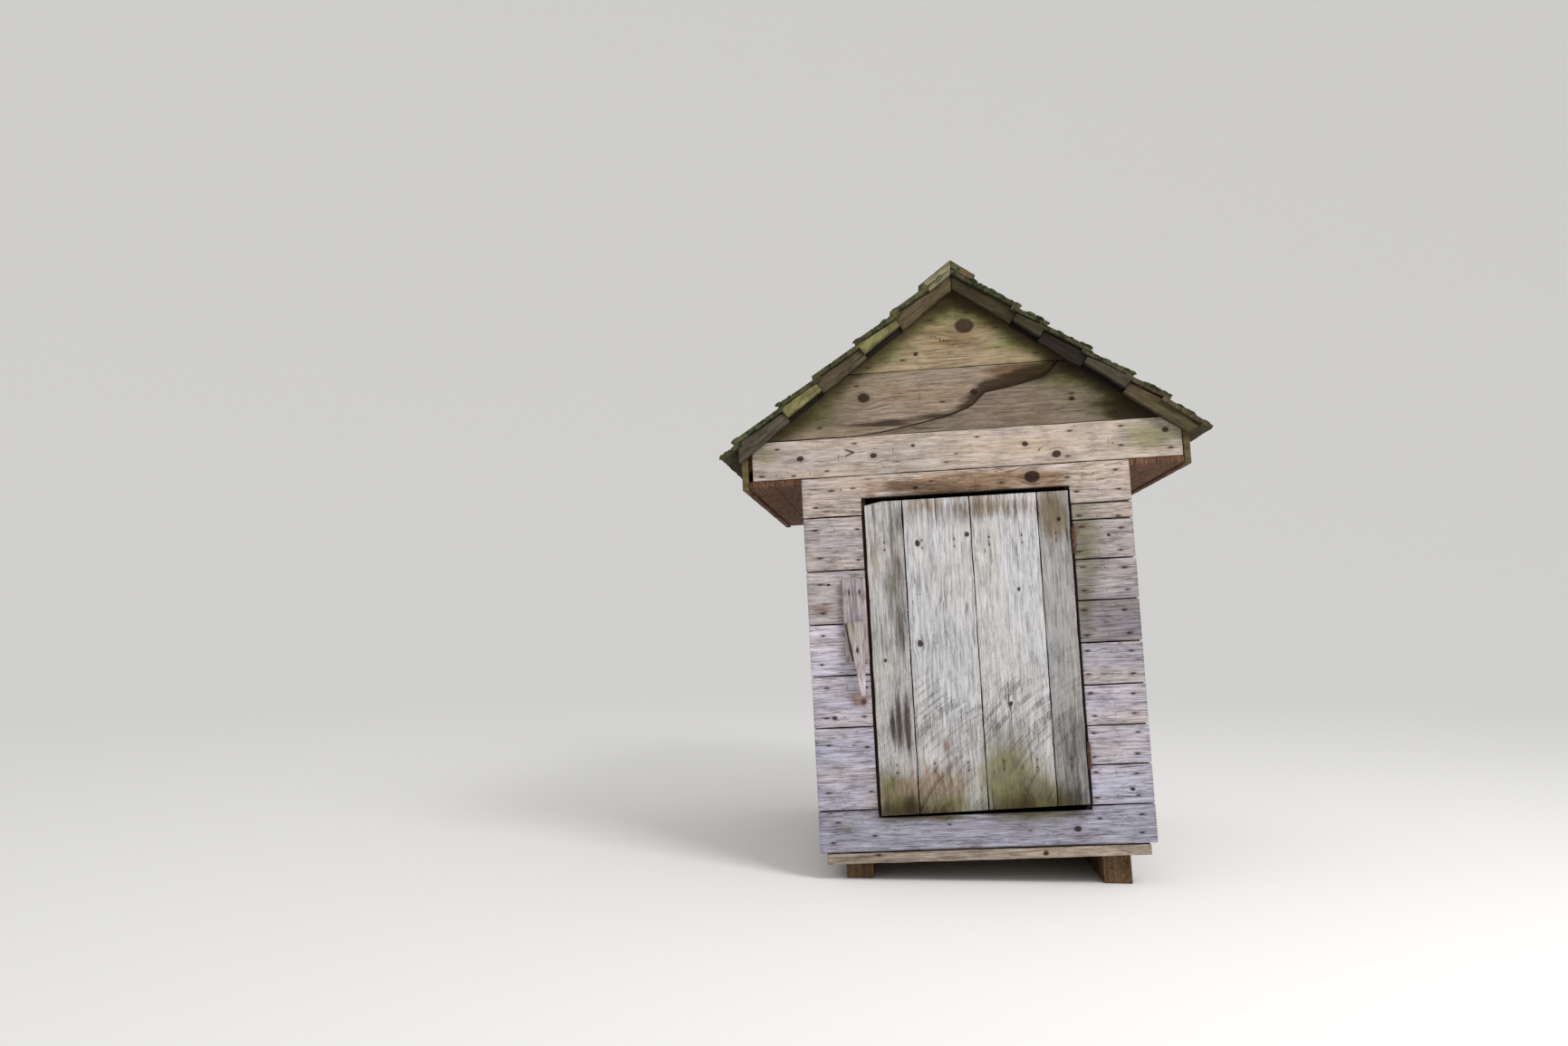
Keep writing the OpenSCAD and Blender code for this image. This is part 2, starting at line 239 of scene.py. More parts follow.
trial = new_stock()
close_board(trial, 0, 3, 8, False)
print("faces of a board with three outlines of eight points:", len(trial["faces"]))

# %% [markdown]
# Every board comes from the next function. It walks along the board, and at each station it draws the
# outline: worn front edges, a slightly uneven face, and a plain back. The width may change along the board,
# which gives notches, tapers and cut gable ends. A library of scanned planks could look as real, but a
# function can give each board its own seams, checks and stains, and it is a few hundred faces instead of a
# file.

# %% One sawn board
UNEVEN = 0.011
THINNEST = 0.6
RIDGE_GAP = 0.6


def plank(stock, place, ends, low, high, depth, seed, step=22, lane=9, edge=2.5, wander=1.2, relief=0.5,
          knots=(), nails=(), checks=(), corners=(), start_at=None, stop_at=None, stain=no_stain, tone=None,
          warmth=None, back_lanes=2, dent=None, plumb=0):
    """Adds one board. Along it go ends, across it low to high, and into it depth, all in millimetres.
    A dent sinks the face further, and plumb is the side of the ridge that the low edge is cut for."""
    pick = random.Random(seed)
    low_at = low if callable(low) else lambda u: low
    high_at = high if callable(high) else lambda u: high
    start, stop = ends
    face, back = depth
    tone = pick.uniform(-1, 1) if tone is None else tone
    warmth = pick.uniform(-1, 1) if warmth is None else warmth
    offset = Vector((pick.uniform(0, 30), pick.uniform(0, 30), pick.uniform(0, 30)))
    stations = stations_along(ends, edge, step, [*corners, *(u for check in checks for u in check[1:3])])
    middle = (start + stop) / 2
    low_mid = low_at(middle)
    room = max(high_at(middle) - low_mid - 2 * edge, 1)
    grooves = [((v - low_mid - edge) / room, c0, c1, width, deep) for v, c0, c1, width, deep in checks]
    shares = lanes_across(room, max(high_at(u) - low_at(u) for u, _ in stations), lane, grooves)

    def sink(u, v, share):
        """How far the face is sunk at a point, and how far a check has opened there."""
        broad = wobble(u * 0.004, v * 0.06, seed + 3)
        sunk = relief * (0.5 + broad + 0.5 * wobble(u * 0.02, v * 0.2, seed + 5))
        sunk += dent(u, v) if dent else 0
        opened = 0
        for centre, c0, c1, width, deep in grooves:
            if c0 - 1 <= u <= c1 + 1 and abs(share - centre) * room < width * 0.25:
                opened = check_opening(u, start, edge, c0, c1)
                sunk += deep * opened
        return max(sunk, 0), opened

    first = len(stock["points"])
    ring = len(shares) + 7 + back_lanes
    for u, pinch in stations:
        lo = low_at(u) + wander * wobble(u * UNEVEN, 1, seed)
        hi = max(high_at(u) + wander * wobble(u * UNEVEN, 9, seed), lo + THINNEST)
        worn = min(edge, max(hi - lo, 0.4) * 0.45)
        shoulder = face + SHOULDER * worn
        loop = [(lo, back - worn, 0), (lo, face + worn, 0), (lo + SHOULDER * worn, shoulder, 0)]
        for share in shares:
            v = lo + worn + (hi - lo - 2 * worn) * share
            sunk, opened = sink(u, v, share)
            loop.append((v, face + sunk, opened))
        loop += [(hi - SHOULDER * worn, shoulder, 0), (hi, face + worn, 0), (hi, back - worn, 0)]
        loop += [(hi - worn - (hi - lo - 2 * worn) * j / back_lanes, back, 0) for j in range(back_lanes + 1)]
        along = (u - start) / (stop - start)
        for spot, (v, w, opened) in enumerate(loop):
            v = min(max(v, lo + min(pinch, worn)), hi - min(pinch, worn))
            w = min(max(w, face + pinch), back - pinch)
            begin = start_at(v) if start_at else start
            finish = stop_at(v) if stop_at else stop
            uu = begin + along * (finish - begin)
            point = place @ Vector((uu, v, w))
            if plumb and (spot < 3 or spot == ring - 1 or point.x * plumb < RIDGE_GAP):
                slide = place.to_3x3().col[1]
                point += slide * ((RIDGE_GAP * plumb - point.x) / slide.x)
            marks = list(stain(point))
            marks[1] = min(1, marks[1] + opened)
            stock["points"].append(point)
            stock["grain"].append(Vector((uu, v, w)) / 1000 + offset)
            stock["board"].append((tone, warmth, min(uu - begin, finish - uu) / 1000))
            stock["stain"].append(marks)
            stock["knot"].append(nearest(knots, uu, v))
            stock["nail"].append(nearest(nails, uu, v))
    close_board(stock, first, len(stations), ring, place.to_3x3().determinant() > 0)
    return stock


def timber(stock, low, high, seed, edge=3, **options):
    """A squared timber between two corners, with its grain along its longest side."""
    size = [high[i] - low[i] for i in range(3)]
    longest = size.index(max(size))
    across, inward = [(1, 2), (0, 2), (0, 1)][longest]
    axes = (X, Y, Z)
    place = setting((0, 0, 0), axes[longest], axes[across], axes[inward])
    plank(stock, place, (low[longest], high[longest]), low[across], high[across],
          (low[inward], high[inward]), seed, step=60, lane=18, edge=edge, **options)


trial = plank(new_stock(), FRONT, (0, 600), 0, 150, (0, BOARD_T), 1)
print("points of a short plain board:", len(trial["points"]))

# %% [markdown]
# A stock becomes a mesh, with its notes as attributes. Where a board thins out to nothing its points fall
# together, so they are joined. The mesh is then leaned, given a finish and parented to a body of the part,
# so that it moves with it, and the plain solids that it stands for are hidden.

# %% From a stock to a piece
def raw_mesh(name, stock):
    """The stock as a mesh in millimetres, with points that fall together joined."""
    mesh = bpy.data.meshes.new(name)
    mesh.from_pydata(stock["points"], [], stock["faces"])
    mesh.polygons.foreach_set("use_smooth", [not flat for flat in stock["flat"]])
    for key in (*KEPT, "saw"):
        if key in stock:
            kind, field = ("FLOAT_COLOR", "color") if key == "stain" else ("FLOAT_VECTOR", "vector")
            layer = mesh.attributes.new(key, kind, "POINT")
            layer.data.foreach_set(field, [value for row in stock[key] for value in row])
    joined = bmesh.new()
    joined.from_mesh(mesh)
    bmesh.ops.remove_doubles(joined, verts=joined.verts, dist=0.002)
    joined.to_mesh(mesh)
    joined.free()
    return mesh


def stand(name, data):
    """A new object in the scene."""
    item = bpy.data.objects.new(name, data)
    bpy.context.scene.collection.objects.link(item)
    return item


def dress(name, mesh, finish, slot, *nodes, body="building"):
    """Makes a finished mesh a piece of the part."""
    if finish:
        mesh.materials.clear()
        mesh.materials.append(finish)
    piece = stand(name, mesh)
    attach(piece, body)
    if nodes:
        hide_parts(*nodes)
    mesh.calc_loop_triangles()
    print(name, "triangles:", len(mesh.loop_triangles))


def lay(name, stock, finish, slot, *nodes, body="building"):
    """Leans a stock with the building and makes it a piece."""
    mesh = raw_mesh(name, stock)
    mesh.transform(LEANED)
    dress(name, mesh, finish, slot, *nodes, body=body)


print("faces of the plain board as a mesh:", len(raw_mesh("trial_board", trial).polygons))
bpy.data.meshes.remove(bpy.data.meshes["trial_board"])

# %% [markdown]
# Materials and Geometry Nodes are both trees of nodes. A small helper keeps them short to write: it puts a
# node down, sets its options, and links or fills its sockets. Colours are written as on a screen and turned
# linear.

# %% A helper for node trees
def srgb(text):
    """A colour written as on a screen, in the linear values that the shader wants."""
    parts = [int(text[i:i + 2], 16) / 255 for i in (1, 3, 5)]
    return tuple(p / 12.92 if p <= 0.04045 else ((p + 0.055) / 1.055) ** 2.4 for p in parts) + (1,)


class Graph:
    """Short calls that add nodes to one tree."""

    def __init__(self, tree):
        self.tree = tree

    def put(self, kind, inputs=None, **options):
        node = self.tree.nodes.new(kind)
        for option, value in options.items():
            setattr(node, option, value)
        for key, value in (inputs or {}).items():
            if isinstance(value, bpy.types.NodeSocket):
                self.tree.links.new(value, node.inputs[key])
            elif isinstance(value, str) and value.startswith("#"):
                node.inputs[key].default_value = srgb(value)
            else:
                node.inputs[key].default_value = value
        return node

    def math(self, operation, *values, clamp=False):
        inputs = dict(enumerate(values))
        return self.put("ShaderNodeMath", inputs, operation=operation, use_clamp=clamp).outputs[0]

    def add(self, a, b):
        return self.math("ADD", a, b)

    def less(self, a, b):
        return self.math("SUBTRACT", a, b)

    def times(self, a, b):
        return self.math("MULTIPLY", a, b)

    def vector(self, x, y, z):
        return self.put("ShaderNodeCombineXYZ", {0: x, 1: y, 2: z}).outputs[0]

    def parts(self, vector):
        return self.put("ShaderNodeSeparateXYZ", {0: vector}).outputs

    def scaled(self, vector, by):
        return self.put("ShaderNodeVectorMath", {0: vector, "Scale": by}, operation="SCALE").outputs[0]

    def joined(self, a, b, operation="ADD"):
        return self.put("ShaderNodeVectorMath", {0: a, 1: b}, operation=operation).outputs[0]

    def noise(self, vector, scale=1.0, detail=3.0, rough=0.55):
        inputs = {"Vector": vector, "Scale": scale, "Detail": detail, "Roughness": rough}
        return self.put("ShaderNodeTexNoise", inputs).outputs[0]

    def between(self, value, low, high):
        """0 below low, 1 above high, and a smooth rise between them. Low may be the larger one."""
        inputs = {0: value, 1: low, 2: high, 3: 0.0, 4: 1.0}
        return self.put("ShaderNodeMapRange", inputs, interpolation_type="SMOOTHSTEP").outputs[0]

    def mix(self, share, a, b, blend="MIX"):
        node = self.put("ShaderNodeMix", {0: share, 6: a, 7: b}, data_type="RGBA", blend_type=blend)
        return node.outputs[2]


print("silver grey as linear values:", [round(v, 3) for v in srgb("#b8b2ab")])

# %% [markdown]
# Every material here starts empty and ends in the same way: one shader, with its colour and its bump
# linked. The bump only turns the light on the surface, so it suits detail that is too fine for the mesh.

# %% A new material and its surface
def new_material(name):
    """An empty material and the helper for its tree."""
    material = bpy.data.materials.new(name)
    material.use_nodes = True
    material.node_tree.nodes.clear()
    return material, Graph(material.node_tree)


def surface(g, colour, height, strength, distance, sockets):
    """A surface with bump. What is the same all over it is set on the shader's own sockets."""
    bump = g.put("ShaderNodeBump", {"Height": height, "Strength": strength, "Distance": distance}).outputs[0]
    shader = g.put("ShaderNodeBsdfPrincipled", {"Base Color": colour, "Normal": bump, **sockets})
    g.put("ShaderNodeOutputMaterial", {"Surface": shader.outputs[0]})


print("materials that came with the solids:", len(bpy.data.materials))

# %% [markdown]
# Weathered wood is one finish with many settings, and it is built in the order that nature took: what the
# tree grew, and then what rain, damp and iron did to the board, with painted shade laid in with the damp.
# The finish first reads the notes that each board kept. A solid without notes reads its own coordinates
# instead.
# Most of the finish is noise drawn out along the grain.

# %% Reading the grain
FIBRE = (8, 210, 60)


def attribute(g, name):
    return g.put("ShaderNodeAttribute", attribute_name=name)


def read_board(g, frame_turn):
    """The notes of a board, by name, ready to be linked."""
    if frame_turn is None:
        grain = attribute(g, "grain").outputs["Vector"]
    else:
        coordinates = g.put("ShaderNodeTexCoord").outputs["Object"]
        grain = g.put("ShaderNodeMapping", {"Vector": coordinates, "Rotation": frame_turn}).outputs[0]
    u, v, w = g.parts(grain)
    tone, warmth, from_end = g.parts(attribute(g, "board").outputs["Vector"])
    stain = attribute(g, "stain")
    algae, damp_and_shade, rust = g.put("ShaderNodeSeparateColor", {0: stain.outputs["Color"]}).outputs
    return SimpleNamespace(grain=grain, u=u, v=v, w=w, tone=tone, warmth=warmth, from_end=from_end,
                           algae=algae, damp_and_shade=damp_and_shade, rust=rust, tan=stain.outputs["Alpha"])


def streaks(g, at, along, across, through=1.0, detail=3, rough=0.55, bent=False):
    """Noise drawn out along the grain. It changes faster each way where the number is larger."""
    v = at.v_bent if bent else at.v
    drawn = g.vector(g.times(at.u, along), g.times(v, across), g.times(at.w, through))
    return g.noise(drawn, 1.0, detail, rough)


print("a fibre is about", round(FIBRE[1] / FIBRE[0]), "times as long as it is wide")

# %% [markdown]
# A branch left each knot. Its core is oval and dark brown with rings of its own, and the fibres of the
# board bend round it, which is done by moving the place where the grain is looked up.

# %% Knots
LEAST_KNOT = 0.0008


def find_knots(g, at):
    """Where the knots are, and the grain bent round them."""
    ku, kv, size = g.parts(attribute(g, "knot").outputs["Vector"])
    far = g.math("SQRT", g.add(g.times(g.times(ku, ku), 0.62), g.times(kv, kv)))
    far = g.add(far, g.times(g.less(g.noise(g.vector(at.u, at.v, 0.0), 70, 2), 0.5), 0.006))
    ratio = g.math("DIVIDE", far, g.math("MAXIMUM", size, 0.0005))
    real = g.math("GREATER_THAN", size, LEAST_KNOT)
    at.knot_ratio = ratio
    at.knot_near = g.times(g.math("EXPONENT", g.times(g.times(ratio, ratio), -0.16)), real)
    at.knot_core = g.times(g.between(ratio, 1.3, 0.95), real)
    at.v_bent = g.less(at.v, g.times(kv, g.times(at.knot_near, 0.85)))


def show_knots(g, at, colour):
    halo = g.times(g.between(at.knot_ratio, 2.6, 1.2), at.knot_near)
    colour = g.mix(g.times(halo, 0.25), colour, "#8a7664", "MULTIPLY")
    rings = g.between(g.math("SINE", g.times(at.knot_ratio, 16.0)), -0.4, 1.0)
    return g.mix(g.times(at.knot_core, 0.92), colour, g.mix(rings, "#140b07", "#38241a"))


print("knots are drawn from a size of", LEAST_KNOT * 1000, "mm")

# %% [markdown]
# The face of an old sawn board is ridged. The hard rings of late wood stand up, the soft wood between them
# has worn away, and the surface has opened in hairlines and short cracks. Two noises at different scales
# make the fibres, a sine makes the rings, and the lines follow the middle level of a noise, where it is
# thin and winding.

# %% Rings, fibres and cracks
FIBRE_SHARE, FINE_SHARE, RING_SHARE = 0.50, 0.34, 0.16


def thin_lines(g, waves, wide, narrow, where):
    lines = g.between(g.math("ABSOLUTE", g.less(waves, 0.5)), wide, narrow)
    return g.times(lines, where)


def find_grain(g, at, contrast):
    """Growth rings and fibres, how light they are together, and the cracks between them."""
    sway = streaks(g, at, 1.1, 5.0, detail=2, bent=True)
    ring_at = g.add(g.times(at.v_bent, 46.0), g.times(sway, 7.0))
    at.rings = g.between(g.math("SINE", g.times(ring_at, 6.2832)), -0.6, 1.0)
    at.fine = streaks(g, at, 16, 420, 120, 4, 0.65, bent=True)
    at.fibre = streaks(g, at, *FIBRE, 5, 0.62, bent=True)
    crack_where = g.between(streaks(g, at, 5, 18, detail=2), 0.54, 0.66)
    at.cracks = thin_lines(g, streaks(g, at, 2.4, 60, 20, 2, 0.5, bent=True), 0.014, 0.003, crack_where)
    hair_where = g.between(streaks(g, at, 12, 34, detail=4, rough=0.65), 0.44, 0.60)
    at.hairs = thin_lines(g, streaks(g, at, 10, 105, 30, 3, 0.62, bent=True), 0.052, 0.012, hair_where)
    shade = g.times(g.between(at.fibre, 0.30, 0.58), FIBRE_SHARE)
    shade = g.add(shade, g.times(g.between(at.fine, 0.3, 0.66), FINE_SHARE))
    shade = g.add(shade, g.times(at.rings, RING_SHARE))
    at.shade = g.math("POWER", g.math("MAXIMUM", shade, 0.001), contrast)


print("share of fibres, fine fibres and rings in the shade:", FIBRE_SHARE, FINE_SHARE, RING_SHARE)

# %% [markdown]
# Sun and rain bleach a board unevenly. It keeps warm and cool patches, dull blotches where it stayed wet,
# and dark specks of dirt and lichen. The tint is multiplied over the grain, so the grain still shows
# through.

# %% Bare weathered wood
def bare_wood(g, at, pale, dark, warm, cool, blotches, specks, hairs):
    """The colour of the board before any knots and stains."""
    colour = g.mix(at.shade, dark, pale)
    blotch = streaks(g, at, 9, 26, detail=4, rough=0.65)
    colour = g.mix(g.times(g.between(blotch, 0.60, 0.36), blotches), colour, "#a39d96", "MULTIPLY")
    patch = g.less(streaks(g, at, 3, 11, detail=4), 0.5)
    patch2 = g.noise(g.vector(g.add(g.times(at.u, 2.0), 7.7), g.times(at.v, 8.0), at.w), 1.0, 3)
    tint_at = g.add(g.add(0.5, g.times(at.warmth, 0.45)), g.times(patch, 1.1))
    tint_at = g.math("ADD", tint_at, g.times(g.less(patch2, 0.5), 0.6), clamp=True)
    colour = g.mix(1.0, colour, g.mix(tint_at, cool, warm), "MULTIPLY")
    speck = g.between(streaks(g, at, 75, 170), 0.60, 0.74)
    speck = g.times(speck, g.between(g.noise(at.grain, 9.0, 3), 0.42, 0.6))
    colour = g.mix(g.times(speck, specks), colour, "#3c3630")
    colour = g.mix(g.times(at.hairs, hairs), colour, g.mix(0.45, dark, "#1d1814"))
    return g.mix(g.times(at.cracks, 0.8), colour, "#241d18")


print("dirt is nearly black, as linear values:", [round(v, 3) for v in srgb("#3c3630")])

# %% [markdown]
# Stains and painted shade come on top. Each board says how much brown heartwood, rust, damp with painted
# shade, and algae there is at a point, and a torn noise breaks that soft amount up into ragged edges, as
# real stains have. Nails bleed black along the grain, because iron and the tannin in wood make ink. Moss and
# dark ends come last.

# %% Stains and painted shade
BLEED = (0.0115, 0.0042)


def show_stains(g, at, colour, damp_and_shade_colour):
    """Brown heartwood, then rust, dark damp with painted shade, and algae."""
    torn = streaks(g, at, 7, 60, detail=4, rough=0.7)
    blot = streaks(g, at, 16, 34, detail=4, rough=0.7)

    def worn(amount, broken, soft=0.3):
        level = g.less(g.add(amount, g.times(broken, 0.9)), 0.72)
        return g.times(g.between(level, -soft * 0.4, soft), g.between(amount, 0.02, 0.25))

    colour = g.mix(g.times(worn(at.tan, torn), 0.85), colour, "#c2a98c", "MULTIPLY")
    colour = g.mix(g.times(worn(at.rust, blot), 0.7), colour, "#8a6754")
    colour = g.mix(g.times(worn(at.damp_and_shade, torn, 0.45), 0.88), colour, damp_and_shade_colour)
    green = g.mix(g.between(blot, 0.35, 0.65), "#54522f", "#7f7b4f")
    # The algae is darkened by the damp and by the painted shade under it.
    green = g.mix(at.damp_and_shade, green, "#30260e")
    both = g.add(g.times(torn, 0.5), g.times(blot, 0.5))
    bare = g.less(0.95, g.times(at.knot_core, 0.8))
    return g.mix(g.times(worn(at.algae, both, 0.95), bare), colour, green)


def show_iron(g, at, colour):
    """The dark smear along the grain at each nail."""
    nu, nv, size = g.parts(attribute(g, "nail").outputs["Vector"])
    nu = g.math("DIVIDE", nu, BLEED[0])
    nv = g.math("DIVIDE", nv, BLEED[1])
    far = g.add(g.times(nu, nu), g.times(nv, nv))
    bleed = g.times(g.math("EXPONENT", g.times(far, -1.0)), size)
    return g.mix(g.math("MINIMUM", g.times(bleed, 1.25), 0.94), colour, "#1f1814")


def show_moss(g, at, colour, share):
    moss_at = g.add(g.noise(at.grain, 16.0, 5, 0.6), g.times(at.algae, 0.3))
    moss_at = g.between(moss_at, 0.62 - 0.3 * share, 0.86 - 0.3 * share)
    moss = g.mix(g.between(g.noise(at.grain, 60.0, 4), 0.35, 0.65), "#25271a", "#4d5037")
    return g.mix(moss_at, colour, moss)


print("iron bleeds, mm along and across the grain:", [round(b * 2000) for b in BLEED])

# %% [markdown]
# A circular saw leaves arcs with a small step between them. They are noise in the distance from the middle
# of the blade, which the door's boards keep as a note. Every board also has the straight marks of a frame
# saw in its relief, and the relief is bump, because ridges this fine would take millions of faces.

# %% Saw marks and relief
def saw_arcs(g, at):
    """The arcs of the blade, broken up as they are where the board has worn."""
    blade_far, blade_share, _ = g.parts(attribute(g, "saw").outputs["Vector"])
    wave = g.noise(g.vector(g.times(blade_far, 64.0), g.times(at.v, 2.0), at.w), 1.0, 3, 0.8)
    where = g.between(streaks(g, at, 8, 7, rough=0.6), 0.38, 0.58)
    arcs = g.times(g.between(wave, 0.47, 0.60), g.times(where, blade_share))
    return g.times(arcs, g.between(streaks(g, at, 45, 230, detail=2), 0.32, 0.56))


def relief_of(g, at, saw_marks, saw):
    """Raised fibres and rings, checks, hairlines, knots and the marks of the saw."""
    height = g.add(g.times(at.fibre, 0.55), g.times(at.fine, 0.28))
    height = g.add(height, g.times(at.rings, 0.12))
    height = g.add(height, g.times(saw_marks, 0.22 * saw))
    height = g.less(height, g.add(g.times(at.cracks, 1.1), g.times(at.hairs, 0.5)))
    return g.add(height, g.times(at.knot_core, 0.25))


RELIEF = 0.0018
print("depth of the relief, mm:", RELIEF * 1000)

# %% [markdown]
# The parts above make one function, and each kind of timber is a call of it with its own colours. The same
# tree gives the pale walls, the brown eaves, which rain never reached, and the dark roof. The two finishes
# for plain solids say how far their grain is turned from the x axis.

# %% Finishes of wood
def wood(name, pale, dark, warm, cool, contrast=1.0, hairs=0.55, blotches=0.34, saw=0.5, specks=0.5,
         moss_share=0.0, arcs=False, tone_step=0.12, frame_turn=None, damp_and_shade_colour="#35281f"):
    """A finish of weathered wood, between a pale and a dark colour, tinted warm and cool in patches."""
    material, g = new_material(name)
    at = read_board(g, frame_turn)
    find_knots(g, at)
    find_grain(g, at, contrast)
    colour = bare_wood(g, at, pale, dark, warm, cool, blotches, specks, hairs)
    colour = show_knots(g, at, colour)
    colour = show_stains(g, at, colour, damp_and_shade_colour)
    colour = show_iron(g, at, colour)
    if moss_share:
        colour = show_moss(g, at, colour, moss_share)
    end_dark = g.between(g.add(at.from_end, g.times(at.fibre, 0.03)), 0.032, 0.004)
    colour = g.mix(g.times(end_dark, 0.22), colour, "#6e6558", "MULTIPLY")
    value = g.add(1.0, g.times(at.tone, tone_step))
    colour = g.put("ShaderNodeHueSaturation", {"Value": value, "Color": colour}).outputs[0]
    saw_marks = streaks(g, at, 230, 4, detail=2)
    if arcs:
        arc_mark = saw_arcs(g, at)
        colour = g.mix(g.times(arc_mark, 0.66), colour, "#7b7873", "MULTIPLY")
        saw_marks = g.less(saw_marks, g.times(arc_mark, 0.8))
    rough = g.less(0.96, g.times(at.shade, 0.12))
    surface(g, colour, relief_of(g, at, saw_marks, saw), 0.8, RELIEF,
            {"Roughness": rough, "Specular IOR Level": 0.18})
    return material


WALL = wood("silver_wall_boards", "#dcd7d3", "#776f6b", "#fff0e2", "#e2e5ff", blotches=0.28)
SIDE = wood("silver_side_boards", "#d8d4d0", "#746d69", "#fbf3e9", "#eff0f7", blotches=0.25)
FRIEZE = wood("pale_frieze_board", "#d0c9c2", "#8a8078", "#fff0de", "#ecebf4", saw=0.2, hairs=0.35)
# The gable's dark damp colour also paints the shade in the peak, under the rakes and along the wavy edge.
GABLE = wood("brown_gable_boards", "#b3a898", "#6d6254", "#fff0d4", "#f3e9e6", specks=0.3, hairs=0.3,
             tone_step=0.2, damp_and_shade_colour="#2b1b0c")
DOOR = wood("silver_door_boards", "#d8d8d8", "#8c8b8a", "#fdf6ee", "#f3f4f9", contrast=0.85, hairs=0.45,
            blotches=0.2, tone_step=0.15, arcs=True)
ROOF = wood("mossy_roof_boards", "#6a6152", "#231f19", "#f4ebcf", "#e0e6da", moss_share=0.4)
# The rake's near-black damp colour also paints the shade under the proud pieces.
RAKE = wood("damp_and_shaded_rake_boards", "#716658", "#2a241d", "#f6e6c6", "#dde2e0", tone_step=0.3,
            damp_and_shade_colour="#1c1611")
EAVE = wood("brown_eave_boards", "#836a58", "#35271f", "#ffe2cc", "#efe3de")
BASE = wood("tan_base_timbers", "#b9aea2", "#665c51", "#fff1e2", "#eeebea")
FRAMING = wood("brown_frame_timbers", "#9f8b75", "#55463a", "#fdead0", "#efe9e3")
LATCH = wood("grey_latch_wood", "#dad2cf", "#786f6c", "#fff0e2", "#e2e5ff")
SOLID_BASE = wood("tan_base_solids", "#a39887", "#51483b", "#fff1de", "#eeebe7",
                  frame_turn=(0, 0, math.pi / 2))
SOLID_FRAMING = wood("brown_frame_solids", "#9f8b75", "#55463a", "#fdead0", "#efe9e3",
                     frame_turn=(0, 0, 0))
print("materials so far:", len(bpy.data.materials))

# %% [markdown]
# The front has been stained in soft patches: algae where rain runs off the roof and splashes up from below,
# dark damp at the seams, rust by the hinge and the turn-button, and brown heartwood here and there. Painted
# shade is laid in the same dark patches: under the rakes, in the peak, along the wavy edge and along the top
# of the doorway. Each patch is a place on the front, its reach both ways and its strength.

# %% Stains and painted shade on the front
ALGAE, DAMP_AND_SHADE, RUST, TAN = range(4)
FRONT_ALGAE = (
    (470, 1735, 170, 50, 1.0), (290, 1880, 130, 50, 1.0), (100, 2020, 120, 60, 1.0),
    (-90, 2010, 110, 50, 0.9), (-560, 1650, 110, 60, 0.7), (-280, 1880, 90, 50, 0.7),
    (600, 1600, 140, 40, 0.7), (-740, 1500, 60, 40, 0.8), (700, 1480, 130, 60, 0.8),
    (430, 1110, 62, 190, 0.8), (415, 860, 24, 110, 0.6), (-500, 100, 60, 40, 0.4),
    (-300, 165, 110, 50, 1.0), (-340, 260, 50, 50, 0.8), (-120, 155, 70, 50, 0.9),
    (110, 190, 130, 100, 1.0), (230, 170, 90, 80, 0.9), (60, 280, 70, 80, 0.6),
    (325, 1230, 40, 60, 0.5), (340, 1890, 60, 30, 0.7), (120, 330, 90, 90, 0.56),
    (-282, 950, 34, 240, 0.3),
)
# Some of these dark patches are painted shade: in the peak under the ridge, in the wedge under the right
# rake, along the wavy edge and along the top of the doorway.
FRONT_DAMP_AND_SHADE = (
    (0, 2090, 90, 70, 1.0), (300, 1745, 90, 26, 1.0), (180, 1715, 110, 12, 0.6),
    (-270, 1590, 110, 15, 0.8), (-90, 1606, 90, 13, 0.7), (640, 1575, 120, 22, 0.95),
    (540, 1612, 60, 16, 0.7), (385, 1115, 12, 60, 0.7), (340, 300, 60, 200, 0.42),
    (-290, 470, 50, 110, 0.25), (-272, 930, 46, 330, 0.52), (-350, 140, 60, 40, 0.7),
    (-200, 135, 90, 26, 0.55), (60, 140, 120, 40, 0.55), (280, 150, 110, 60, 0.5),
    (20, 420, 330, 120, 0.3), (0, 1318, 420, 8, 0.5), (-60, 1340, 180, 14, 0.4),
    (0, 1240, 400, 60, 0.36), (-500, 1610, 150, 50, 0.3), (-421, 551, 13, 14, 0.95),
    (110, 190, 70, 70, 0.35), (0, 0, 900, 7, 0.8), (-268, 165, 34, 40, 0.8),
    (-318, 470, 7, 60, 0.7), (-291, 460, 6, 80, 0.65), (-262, 450, 9, 90, 0.85),
    (160, 160, 40, 50, 0.35), (-220, 1352, 170, 24, 0.3), (-150, 200, 110, 90, 0.22),
)
FRONT_RUST = ((400, 1150, 18, 26, 0.9), (-430, 562, 42, 34, 0.8), (-125, 385, 14, 40, 0.6))
FRONT_TAN = (
    (-160, 215, 130, 120, 0.66), (-320, 210, 70, 60, 0.7), (-350, 1130, 22, 240, 0.35),
    (-150, 1270, 90, 40, 0.45), (100, 1250, 150, 50, 0.5), (320, 1200, 60, 120, 0.7),
    (-150, 1690, 320, 60, 0.3), (250, 1760, 130, 30, 0.9), (0, 1900, 220, 80, 0.4),
    (300, 1600, 250, 40, 0.2), (10, 1350, 380, 40, 0.84), (-560, 900, 60, 40, 0.4),
    (250, 160, 60, 20, 0.5), (-300, 180, 60, 40, 0.5),
)
FRONT_STAINS = (FRONT_ALGAE, FRONT_DAMP_AND_SHADE, FRONT_RUST, FRONT_TAN)


